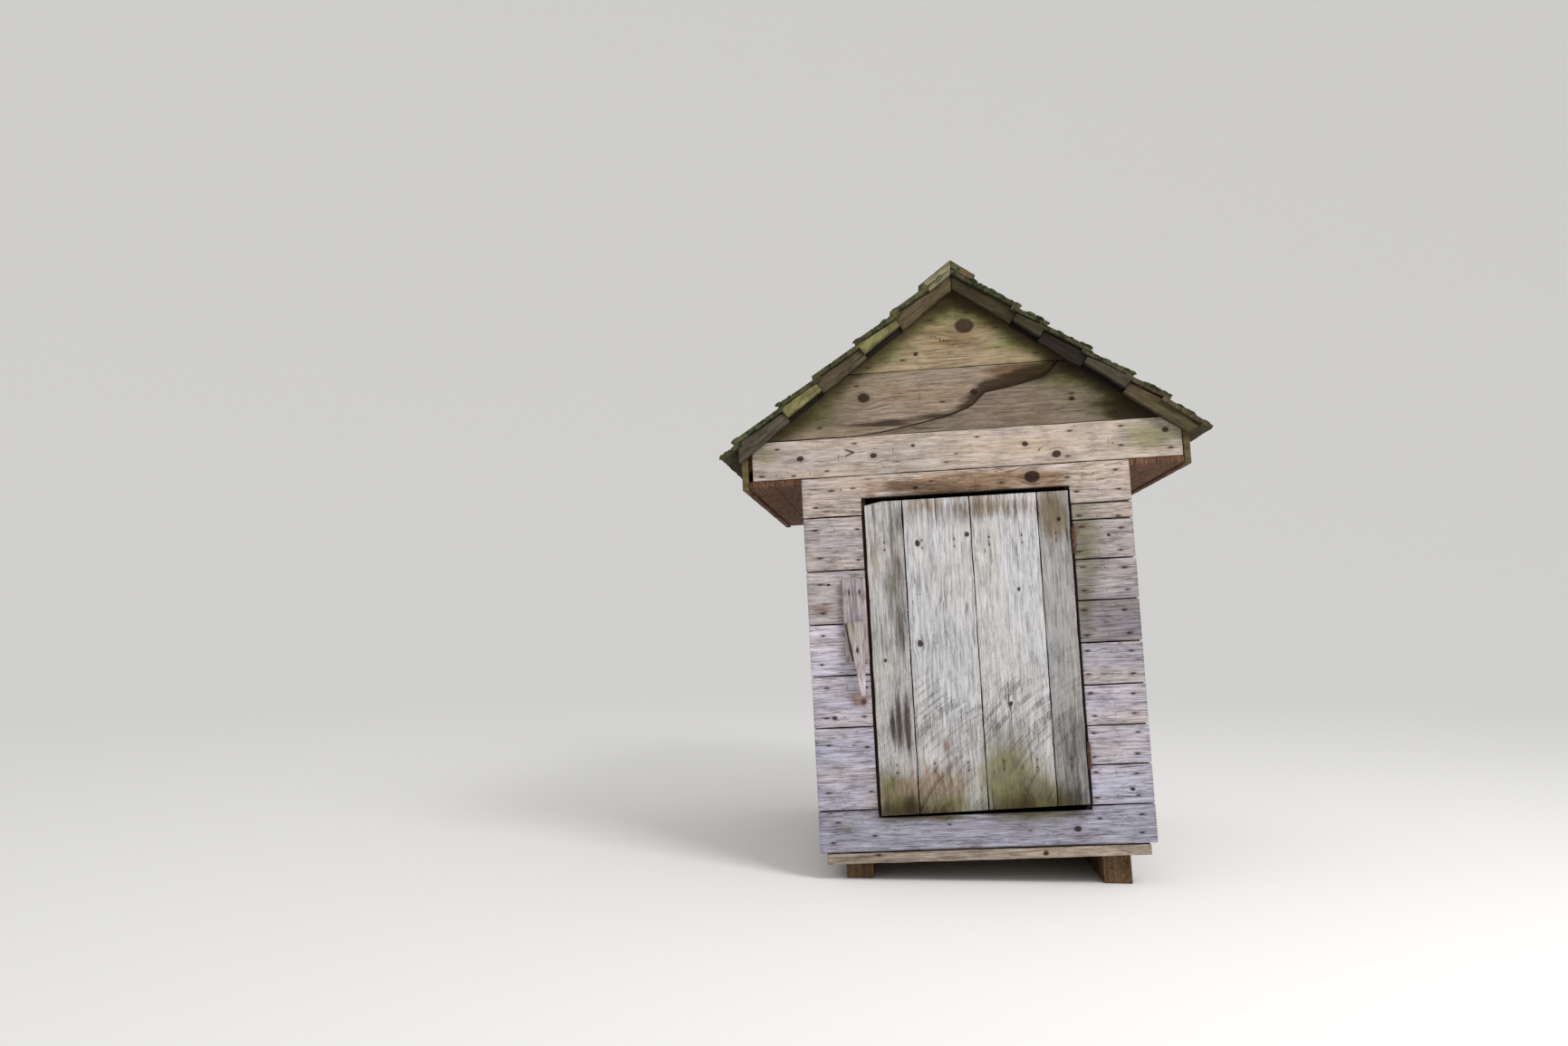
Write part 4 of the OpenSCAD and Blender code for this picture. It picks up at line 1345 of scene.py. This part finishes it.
# %% [markdown]
# Each eave is boxed in by two soffit boards underneath and a fascia outside. They were never painted, and
# they stay red-brown where the roof keeps them dry, so they get a brown finish of their own. Only the sawn
# ends that look out of the front and the back have gone grey-green.

# %% Eaves
def eave_stain(point):
    ends = math.exp(-max(point.y, 0) / 14) + math.exp(-max(WALL_D - point.y, 0) / 14)
    return (0.62 * ends, 0.2 * ends, 0, 0)


for side, word in ((-1, "left"), (1, "right")):
    fascia = new_stock()
    fascia_back = FASCIA_X + BOARD_T
    place = setting((side * fascia_back, 0, 0), Y, Z, Vector((-side, 0, 0)))
    plank(fascia, place, (0, WALL_D), SOFFIT_Z - 7, slope_z(fascia_back) - 0.5, (0, BOARD_T - 0.5),
          780 + side, edge=3, wander=1.5, stain=eave_stain)
    lay(word + "_fascia_board", fascia, EAVE, "eave_wood", word + "_fascia")
    soffit = new_stock()
    place = setting((side * WALL_X, 0, SOFFIT_Z), Y, Vector((side, 0, 0)), Z)
    for row, (inner, outer) in enumerate(((1, 99), (101, 200))):
        plank(soffit, place, (0, WALL_D), inner, outer, (0.5 * row, BOARD_T - 1), 790 + side * 3 + row,
              edge=2)
    lay(word + "_soffit_boards", soffit, EAVE, "eave_wood", word + "_soffit")

# %% [markdown]
# The sills lie flat under the walls. The front one is seen in the picture as a pale strip in the shade, so
# it is laid as a board of the front. The others are squared timbers: the board function again with wider
# steps.

# %% Sills
SILL_X, SILL_IN = 586, 484
SILL_LOW, SILL_TOP = -40, -1
SILL_W = 104
front_sill = plank(new_stock(), FRONT, (-SILL_X, SILL_X), SILL_LOW, -3, (2, SILL_W), 801, edge=2, wander=1.5,
                   lane=8, step=24, tone=1.2, warmth=-0.4, nails=[(-396, -10, 1)], knots=[(210, -22, 0.007)],
                   checks=[(-18, -SILL_X, -380, 2, 8)])
lay("front_sill_timber", front_sill, BASE, "base_wood", "front_sill")
other_sills = new_stock()
timber(other_sills, (-SILL_X, WALL_D - SILL_W, SILL_LOW), (SILL_X, WALL_D - 2, SILL_TOP), 802)
timber(other_sills, (-SILL_X, SILL_W, SILL_LOW), (-SILL_IN, WALL_D - SILL_W, SILL_TOP), 803)
timber(other_sills, (SILL_IN, SILL_W, SILL_LOW), (SILL_X, WALL_D - SILL_W, SILL_TOP), 804)
lay("other_sill_timbers", other_sills, BASE, "base_wood", "back_sill", "side_sills")

# %% [markdown]
# Posts, studs, plates, jambs and the lintel are seen through the open door. They all become one piece,
# because they share a finish and never move apart. The front of each jamb, seen in the gaps round the closed
# door, is painted dark as shade.

# %% Frame inside the walls
STUD_T, STUD_W = 51, 102
RAFTER_W = 89
JAMB_X = OPENING_X - 15
INNER_X = WALL_X - BOARD_T
INNER_D = WALL_D - BOARD_T
PLATE_TOP = RIDGE_Z - RAFTER_W / math.cos(PITCH) - (INNER_X - 36) * math.tan(PITCH)
PLATE_Z = PLATE_TOP - STUD_T


# Painted shade: the front 6 mm of each jamb is darkened so that the gaps round the door read dark.
def jamb_stain(point):
    return (0, 1 if point.y < BOARD_T + 6 else 0, 0, 0)


posts = new_stock()
for side in (-1, 1):
    x0, x1 = sorted((side * INNER_X, side * (INNER_X - STUD_T)))
    timber(posts, (x0, BOARD_T, BOARD_T), (x1, BOARD_T + STUD_W, PLATE_Z), 810 + side)
    timber(posts, (x0, INNER_D - STUD_W, BOARD_T), (x1, INNER_D, PLATE_Z), 813 + side)
    timber(posts, (x0, (WALL_D - STUD_T) / 2, BOARD_T), (x1, (WALL_D + STUD_T) / 2, PLATE_Z), 816 + side)
    timber(posts, (x0, BOARD_T, PLATE_Z), (x1, INNER_D, PLATE_TOP), 819 + side)
    x0, x1 = sorted((side * JAMB_X, side * (JAMB_X + STUD_T)))
    timber(posts, (x0, BOARD_T, BOARD_T), (x1, BOARD_T + STUD_W, WALL_TOP), 822 + side, stain=jamb_stain)
timber(posts, (-STUD_W / 2, INNER_D - STUD_T, BOARD_T), (STUD_W / 2, INNER_D, FRIEZE_TOP), 825)
timber(posts, (-JAMB_X, BOARD_T, OPENING_TOP), (JAMB_X, BOARD_T + STUD_T, WALL_TOP), 826)
lay("frame_timbers", posts, FRAMING, "frame_wood", "front_posts", "back_posts", "wall_studs", "left_plate",
    "right_plate", "door_jambs", "door_lintel")

# %% [markdown]
# The other walls and the floor repeat one board, row upon row, and the nails and the moss repeat by the
# hundred. Geometry Nodes suit all of them. Each tree has named inputs and a fixed seed, and ends in real
# mesh.

# %% Helpers for Geometry Nodes
def new_tree(name, **sockets):
    """A tree with a geometry input and the named ones, and the sockets that they arrive on."""
    tree = bpy.data.node_groups.new(name, "GeometryNodeTree")
    for label, kind in {"Geometry": "Geometry", **sockets, "Seed": "Int", "Material": "Material"}.items():
        tree.interface.new_socket(name=label, in_out="INPUT", socket_type="NodeSocket" + kind)
    tree.interface.new_socket(name="Geometry", in_out="OUTPUT", socket_type="NodeSocketGeometry")
    g = Graph(tree)
    return tree, g, g.put("NodeGroupInput").outputs


def close_tree(g, geometry, finish):
    real = g.put("GeometryNodeRealizeInstances", {0: geometry}).outputs[0]
    painted = g.put("GeometryNodeSetMaterial", {"Geometry": real, "Material": finish}).outputs[0]
    g.put("NodeGroupOutput", {0: painted})


def in_use(node):
    """The output that a node shows for its kind of data."""
    return next(socket for socket in node.outputs if socket.enabled)


def random_value(g, low, high, seed, kind="FLOAT"):
    return in_use(g.put("FunctionNodeRandomValue", {"Min": low, "Max": high, "Seed": seed}, data_type=kind))


def named(g, name, kind="FLOAT_VECTOR"):
    return in_use(g.put("GeometryNodeInputNamedAttribute", {"Name": name}, data_type=kind))


def noted(g, geometry, name, value, domain="POINT"):
    """The geometry with a value kept on it."""
    inputs = {"Geometry": geometry, "Name": name, "Value": value}
    options = {"data_type": "FLOAT_VECTOR", "domain": domain}
    return g.put("GeometryNodeStoreNamedAttribute", inputs, **options).outputs[0]


print("trees so far:", len(bpy.data.node_groups))

# %% [markdown]
# A tree needs a mesh to work on: the board that it repeats, or points that say where things stand. It runs
# as a modifier on a helper, and only the plain mesh that comes out is kept, leaned like the rest.

# %% Running a tree
def grow(name, mesh, tree, **values):
    """Runs a tree on a mesh and returns the result as a plain mesh, leaned like the building."""
    helper = stand("helper", mesh)
    modifier = helper.modifiers.new("grow", "NODES")
    modifier.node_group = tree
    identifiers = {s.name: s.identifier for s in tree.interface.items_tree if s.in_out == "INPUT"}
    for label, value in values.items():
        modifier[identifiers[label]] = value
    graph = bpy.context.evaluated_depsgraph_get()
    grown = bpy.data.meshes.new_from_object(helper.evaluated_get(graph), preserve_all_data_layers=True,
                                            depsgraph=graph)
    grown.name = name
    bpy.data.objects.remove(helper)
    grown.transform(LEANED)
    return grown


def spot_mesh(name, points, **notes):
    """Points for a tree to set things on, with a vector or a number noted on each."""
    mesh = bpy.data.meshes.new(name)
    mesh.from_pydata(points, [], [])
    for key, values in notes.items():
        vectors = isinstance(values[0], Vector)
        layer = mesh.attributes.new(key, "FLOAT_VECTOR" if vectors else "FLOAT", "POINT")
        flat = [part for value in values for part in value] if vectors else values
        layer.data.foreach_set("vector" if vectors else "value", flat)
    return mesh


trial = spot_mesh("trial_spots", [Vector((0, 0, 0)), Vector((1, 0, 0))], size=[1.0, 2.0])
print("points of a trial mesh:", len(trial.vertices))
bpy.data.meshes.remove(trial)

# %% [markdown]
# This tree builds a wall from one board. It sets a copy on each row at that row's width, pushes it in or
# out a little, gives it a shade and a stretch of grain of its own, and at the end wears the whole wall
# unevenly.

# %% Tree for rows of boards
BOARD_W = 200.0
PUSH = -5.0
rows_tree, g, given = new_tree("board_rows", Rows="Object", Across="Vector", Outward="Vector", Wear="Float")
row_points = g.put("GeometryNodeObjectInfo", {"Object": given["Rows"]}).outputs["Geometry"]
row_points = g.put("GeometryNodeMeshToPoints", {"Mesh": row_points}).outputs[0]
wider = g.less(g.math("DIVIDE", named(g, "width", "FLOAT"), BOARD_W), 1.0)
size = g.joined(g.scaled(given["Across"], wider), (1, 1, 1))
inputs = {"Points": row_points, "Instance": given["Geometry"], "Scale": size}
rows = g.put("GeometryNodeInstanceOnPoints", inputs).outputs[0]
push = g.scaled(given["Outward"], g.times(random_value(g, 0.0, 1.0, given["Seed"]), PUSH))
rows = g.put("GeometryNodeTranslateInstances", {"Instances": rows, "Translation": push}).outputs[0]
picked = random_value(g, (0, 0, 0), (1, 1, 1), given["Seed"], "FLOAT_VECTOR")
rows = noted(g, rows, "pick", picked, "INSTANCE")
rows = g.put("GeometryNodeRealizeInstances", {0: rows}).outputs[0]
rows = noted(g, rows, "grain", g.joined(g.scaled(named(g, "pick"), 23.0), named(g, "grain")))
tone_pick, warmth_pick, _ = g.parts(named(g, "pick"))
looks = g.vector(g.add(g.times(tone_pick, 2.0), -1.0), g.add(g.times(warmth_pick, 1.4), -0.7),
                 g.parts(named(g, "board"))[2])
rows = noted(g, rows, "board", looks)
inputs = {"Vector": g.put("GeometryNodeInputPosition").outputs[0], "Scale": 0.012, "Detail": 2.0}
bumps = g.put("ShaderNodeTexNoise", inputs).outputs["Color"]
bumps = g.scaled(g.joined(bumps, (0.5, 0.5, 0.5), "SUBTRACT"), given["Wear"])
rows = g.put("GeometryNodeSetPosition", {"Geometry": rows, "Offset": bumps}).outputs[0]
close_tree(g, rows, given["Material"])
labels = [socket.name for socket in rows_tree.interface.items_tree if socket.in_out == "INPUT"]
print("inputs of the tree:", ", ".join(labels))

# %% [markdown]
# The side and back walls are nailed to the corner posts and to a stud in the middle. They face weather that
# the front does not, and show nothing in the picture, so their boards only differ in width, shade and
# grain.

# %% Side walls, back wall and floor
SIDE_LINES = (0, 152, 346, 522, 704, 906, 1062, 1262, 1400, 1583)
BACK_LINES = (0, 150, 352, 548, 702, 900, 1052, 1250, 1400)
FLOOR_LINES = (BOARD_T, 210, 420, 610, 820, 1010, 1225, 1420, 1600, INNER_D)
POST_YS = (BOARD_T + 50, WALL_D / 2, INNER_D - 50)
BACK_XS = (-560, 0, 560)


def boarded(name, place, ends, lines, finish, slot, node, seeds, gap=1.6, **options):
    """A wall of stacked boards. The lines are where one board ends and the next begins."""
    board_seed, rows_seed = seeds
    board = plank(new_stock(), place, ends, gap, BOARD_W - gap, (0, BOARD_T), board_seed, **options)
    _, across, inward = (Vector(column) for column in place.to_3x3().col)
    points = spot_mesh(name + "_rows", [across * line for line in lines[:-1]],
                       width=[b - a for a, b in zip(lines, lines[1:])])
    row_object = stand(name + "_rows", points)
    mesh = grow(name, raw_mesh(name + "_board", board), rows_tree, Rows=row_object, Across=tuple(across),
                Outward=tuple(-inward), Wear=2.0, Seed=rows_seed, Material=finish)
    bpy.data.objects.remove(row_object)
    dress(name, mesh, None, slot, node)


def nail_rows(lines, along, point, outward):
    """Two nails in each board of a wall at each of its posts."""
    for low, high in zip(lines, lines[1:]):
        for place in along:
            for share in (0.21, 0.79):
                add_nail(point(place, low + share * (high - low)), outward)


for side, word in ((-1, "left"), (1, "right")):
    outward = Vector((side, 0, 0))
    boarded(word + "_wall_boards", setting((side * WALL_X, 0, 0), Y, Z, -outward), (BOARD_T, INNER_D),
            SIDE_LINES, SIDE, "wall_wood", word + "_wall", (840 + side, 7 + side), lane=10, step=30,
            edge=3.2, wander=1.5, relief=0.8, nails=[(y, v, 0.9) for y in POST_YS for v in (42, 158)],
            checks=[(60, BOARD_T, 150, 2.4, 7), (140, WALL_D - 190, INNER_D, 2.4, 7)])
    nail_rows(SIDE_LINES[:-1], POST_YS, lambda y, z: (side * (WALL_X - 0.5), y, z), outward)
boarded("back_wall_boards", BACK, (-WALL_X, WALL_X), BACK_LINES, SIDE, "wall_wood", "back_wall", (850, 11),
        lane=10, step=28, edge=3.2, wander=1.5, relief=0.8,
        nails=[(x, v, 0.9) for x in BACK_XS for v in (42, 158)], checks=[(90, -WALL_X, -470, 2.4, 7)])
nail_rows(BACK_LINES, BACK_XS, lambda x, z: (x, WALL_D - 0.5, z), Y)
boarded("floor_boards", setting((0, 0, BOARD_T), X, Y, -Z), (-INNER_X, INNER_X), FLOOR_LINES, FRAMING,
        "frame_wood", "floor", (860, 13), gap=SEAM, lane=20, step=60)

# %% [markdown]
# Old iron is pitted and dark, with paler flakes of rust. It is rough all over and only a little metallic,
# because the rust hides the metal. The nails, the hinges and the bent wire share this finish.

# %% Rusty iron
iron, g = new_material("rusty_iron")
place = g.put("ShaderNodeTexCoord").outputs["Object"]
pits = g.noise(place, 420, 4, 0.65)
flakes = g.noise(place, 90, 4, 0.6)
rust_colour = g.mix(g.between(pits, 0.35, 0.65), "#2c1c15", "#633d2c")
rust_colour = g.mix(g.between(flakes, 0.5, 0.66), rust_colour, "#744d3d")
surface(g, rust_colour, pits, 0.7, 0.0006, {"Roughness": 0.82, "Metallic": 0.25})
print("nodes in the finish of the iron:", len(iron.node_tree.nodes))

# %% [markdown]
# Nails hold every board to each timber that it crosses. Their places were noted while the boards were made,
# so one tree can now set a flattened ball on each of them. It is repeated hundreds of times, so it has few
# faces.

# %% Nails with Geometry Nodes
nail_tree, g, given = new_tree("nail_heads", Radius="Float", Height="Float")
ball = g.put("GeometryNodeMeshUVSphere", {"Segments": 9, "Rings": 5, "Radius": 1.0}).outputs[0]
size = g.vector(given["Radius"], given["Radius"], given["Height"])
ball = g.put("GeometryNodeTransform", {"Geometry": ball, "Scale": size}).outputs[0]


def set_on_spots(g, given, thing, size):
    """A copy of a thing on each point, turned the way that the point faces."""
    points = g.put("GeometryNodeMeshToPoints", {"Mesh": given["Geometry"]}).outputs[0]
    turn = g.put("FunctionNodeAlignRotationToVector", {"Vector": named(g, "facing")}, axis="Z").outputs[0]
    inputs = {"Points": points, "Instance": thing, "Rotation": turn, "Scale": size}
    return g.put("GeometryNodeInstanceOnPoints", inputs).outputs[0]


close_tree(g, set_on_spots(g, given, ball, random_value(g, 0.8, 1.15, given["Seed"])), given["Material"])


def shade_round(mesh):
    mesh.polygons.foreach_set("use_smooth", [True] * len(mesh.polygons))


for body in ("building", "door"):
    chosen = [(point, facing) for point, facing, owner in nail_spots if owner == body]
    places, facings = zip(*chosen)
    spots = spot_mesh(body + "_nail_spots", places, facing=facings)
    heads = grow(body + "_nails", spots, nail_tree, Radius=3.6, Height=1.3, Seed=5, Material=iron)
    shade_round(heads)
    dress(body + "_nails", heads, None, "rusty_iron", body=body)

# %% [markdown]
# A short bent wire is pressed into the frieze. A curve with a round bevel is the plainest way to make a
# wire: a few points give its path, and one number its thickness.

# %% The bent wire left in the frieze
WIRE_PATH = ((-436, 1, 1501), (-436, -1.4, 1501), (-421, -1.8, 1495.5), (-406, -1.8, 1490),
             (-402, -1.8, 1489), (-406, -1.8, 1488), (-421, -1.8, 1482.5), (-436, -1.4, 1477),
             (-436, 1, 1477))
WIRE_RADIUS = 2


def wire(name, path, radius):
    """A thin bent wire along a path in millimetres."""
    curve = bpy.data.curves.new(name, "CURVE")
    curve.dimensions = "3D"
    curve.bevel_depth = radius
    curve.bevel_resolution = 2
    curve.use_fill_caps = True
    spline = curve.splines.new("POLY")
    spline.points.add(len(path) - 1)
    for point, place in zip(spline.points, path):
        point.co = (*place, 1)
    helper = stand("helper", curve)
    mesh = bpy.data.meshes.new_from_object(helper.evaluated_get(bpy.context.evaluated_depsgraph_get()))
    bpy.data.objects.remove(helper)
    mesh.name = name
    mesh.transform(LEANED)
    return mesh


dress("frieze_bent_wire", wire("frieze_bent_wire", WIRE_PATH, WIRE_RADIUS), iron, "rusty_iron")

# %% [markdown]
# Moss is a soft green that takes the light dully. Two noises mix three greens: broad patches, and pale
# tips.

# %% Finish of the moss
moss_finish, g = new_material("dull_moss")
place = g.put("ShaderNodeTexCoord").outputs["Object"]
moss_colour = g.mix(g.between(g.noise(place, 35, 4), 0.4, 0.6), "#262c18", "#495630")
moss_colour = g.mix(g.between(g.noise(place, 400, 2), 0.56, 0.78), moss_colour, "#6a7845")
surface(g, moss_colour, g.noise(place, 500, 3), 1.0, 0.002, {"Roughness": 1.0, "Specular IOR Level": 0.1})
print("nodes in the finish of the moss:", len(moss_finish.node_tree.nodes))

# %% [markdown]
# Moss grows in small cushions along the lower edges of the roof boards, and most of all toward their ends.
# Each cushion is a lumpy ball, turned and sized at random by a tree. The roof's own finish carries the
# thinner growth between them, so the two read as one.

# %% Moss with Geometry Nodes
TUFT_WIDTH, TUFT_HEIGHT = 17.0, 6.0
moss_tree, g, given = new_tree("moss_tufts", Width="Float", Height="Float")
tuft = g.put("GeometryNodeMeshIcoSphere", {"Radius": 1.0, "Subdivisions": 2}).outputs[0]
lump = g.put("ShaderNodeTexNoise", {"Scale": 2.6, "Detail": 3.0, "Roughness": 0.7}).outputs["Color"]
lump = g.scaled(g.joined(lump, (0.5, 0.5, 0.5), "SUBTRACT"), 1.3)
tuft = g.put("GeometryNodeSetPosition", {"Geometry": tuft, "Offset": lump}).outputs[0]
size = g.vector(given["Width"], given["Width"], given["Height"])
tuft = g.put("GeometryNodeTransform", {"Geometry": tuft, "Scale": size}).outputs[0]
tufts = set_on_spots(g, given, tuft, named(g, "size", "FLOAT"))
spin = random_value(g, (0, 0, -3.1), (0, 0, 3.1), given["Seed"], "FLOAT_VECTOR")
tufts = g.put("GeometryNodeRotateInstances", {"Instances": tufts, "Rotation": spin}).outputs[0]
close_tree(g, tufts, given["Material"])

places, facings, sizes = zip(*moss_spots)
spots = spot_mesh("moss_spots", places, facing=facings, size=sizes)
moss = grow("roof_moss", spots, moss_tree, Width=TUFT_WIDTH, Height=TUFT_HEIGHT, Seed=9,
            Material=moss_finish)
for vertex in moss.vertices:
    vertex.co = [min(max(value, low), high) for value, low, high in zip(vertex.co, cad_low, cad_high)]
shade_round(moss)
dress("roof_moss", moss, None, "roof_wood")

# %% [markdown]
# Bearers, rafters, hinges and the latch nail are plain enough to stay as they came. They carry no grain of
# their own, so their wood reads the place inside each solid instead.

# %% Finishes for the solids that stay
SOLID_FINISHES = {
    SOLID_BASE: ("left_bearer", "right_bearer"),
    SOLID_FRAMING: ("front_rafters", "middle_rafters", "back_rafters"),
    iron: ("latch_nail", "door_hinge_leaves", "frame_hinge_leaves", "hinge_pins"),
}
for finish, nodes in SOLID_FINISHES.items():
    for node in nodes:
        for material_slot in frame["nodes"][node].material_slots:
            material_slot.material = finish
    print(finish.name, "covers", ", ".join(nodes))

# %% [markdown]
# The stage is a pale floor that curves up into a backdrop all round, so that no view shows an edge. It is a
# line turned round the middle: flat out to twelve metres, and then a quarter of a circle and a wall.

# %% Stage
STAGE_R, BEND_R = 12, 8
STAGE_TOP = 22
stage_paint = bpy.data.materials.new("pale_stage")
stage_paint.use_nodes = True
for socket, value in (("Base Color", srgb("#e9e8e6")), ("Roughness", 1.0), ("Specular IOR Level", 0.0)):
    stage_paint.node_tree.nodes["Principled BSDF"].inputs[socket].default_value = value


def stage_ring(name, profile, turns=64):
    """A surface turned round the middle of the stage, from a list of radius and height."""
    corners = [(r * math.cos(math.tau * i / turns), r * math.sin(math.tau * i / turns), z - 0.001)
               for r, z in profile for i in range(turns)]
    quads = []
    for row in range(0, (len(profile) - 1) * turns, turns):
        for i in range(turns):
            after = (i + 1) % turns
            quads.append((row + i, row + turns + i, row + turns + after, row + after))
    mesh = bpy.data.meshes.new(name)
    mesh.from_pydata(corners, [], quads)
    mesh.materials.append(stage_paint)
    shade_round(mesh)
    ring = stand(name, mesh)
    ring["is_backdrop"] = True
    return ring


stage_ring("stage_floor", [(0.001, 0), (4, 0), (STAGE_R, 0)])
turns = [math.radians(6 * i) for i in range(16)]
bend = [(STAGE_R + BEND_R * math.sin(turn), BEND_R - BEND_R * math.cos(turn)) for turn in turns]
bowl = stage_ring("stage_bowl", bend + [(STAGE_R + BEND_R, STAGE_TOP)])
bowl.visible_diffuse = False
bowl.visible_shadow = False
print("the backdrop stands", STAGE_R + BEND_R, "m away")

# %% [markdown]
# A white world and one large soft lamp light the front evenly, and each colour then shows about as it is
# written. A small hard lamp would bring out the relief more, but its shadows would hide the stains under
# the eaves.

# %% Light
world = bpy.data.worlds.new("soft_white")
world.use_nodes = True
world.node_tree.nodes["Background"].inputs["Color"].default_value = (1, 1, 1, 1)
world.node_tree.nodes["Background"].inputs["Strength"].default_value = 0.75
bpy.context.scene.world = world


def soft_lamp(name, place, target, width, power):
    lamp = bpy.data.lights.new(name, "AREA")
    lamp.size = width
    lamp.energy = power
    holder = stand(name, lamp)
    holder.location = place
    holder.rotation_euler = (Vector(target) - Vector(place)).to_track_quat("-Z", "Y").to_euler()


soft_lamp("key_lamp", (3.2, -4.2, 5.2), (0, 0, 1.2), 2.2, 260)
print("lamps:", len(bpy.data.lights))

# %% [markdown]
# The camera stands where the picture was taken from, worked out from the wall, frieze and eave edges: its
# place in metres, how far it turns to the left and looks up, and its focal length in pixels of the picture.

# %% Camera
FOCAL_PIXELS, PHOTO_WIDTH = 1288, 1731
SENSOR_WIDTH = 36
YAW, RISE = 0.097635, 0.0842697
camera = bpy.data.cameras.new("camera")
camera.sensor_width = SENSOR_WIDTH
camera.lens = FOCAL_PIXELS / PHOTO_WIDTH * SENSOR_WIDTH
eye = stand("camera", camera)
eye.location = (-0.2393, -5.269, 0.9529)
sight = Vector((-math.sin(YAW) * math.cos(RISE), math.cos(YAW) * math.cos(RISE), math.sin(RISE)))
eye.rotation_euler = sight.to_track_quat("-Z", "Y").to_euler()
bpy.context.scene.camera = eye
bpy.context.scene.view_settings.view_transform = "Standard"
print("lens, mm:", round(camera.lens, 2))

# %% [markdown]
# The box of the dressed part should be the box of the solids. Both are written down, and the scene is done.

# %% Keep the boxes and finish
low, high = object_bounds()
print("visual box:", [round(v, 4) for v in (*low, *high)])
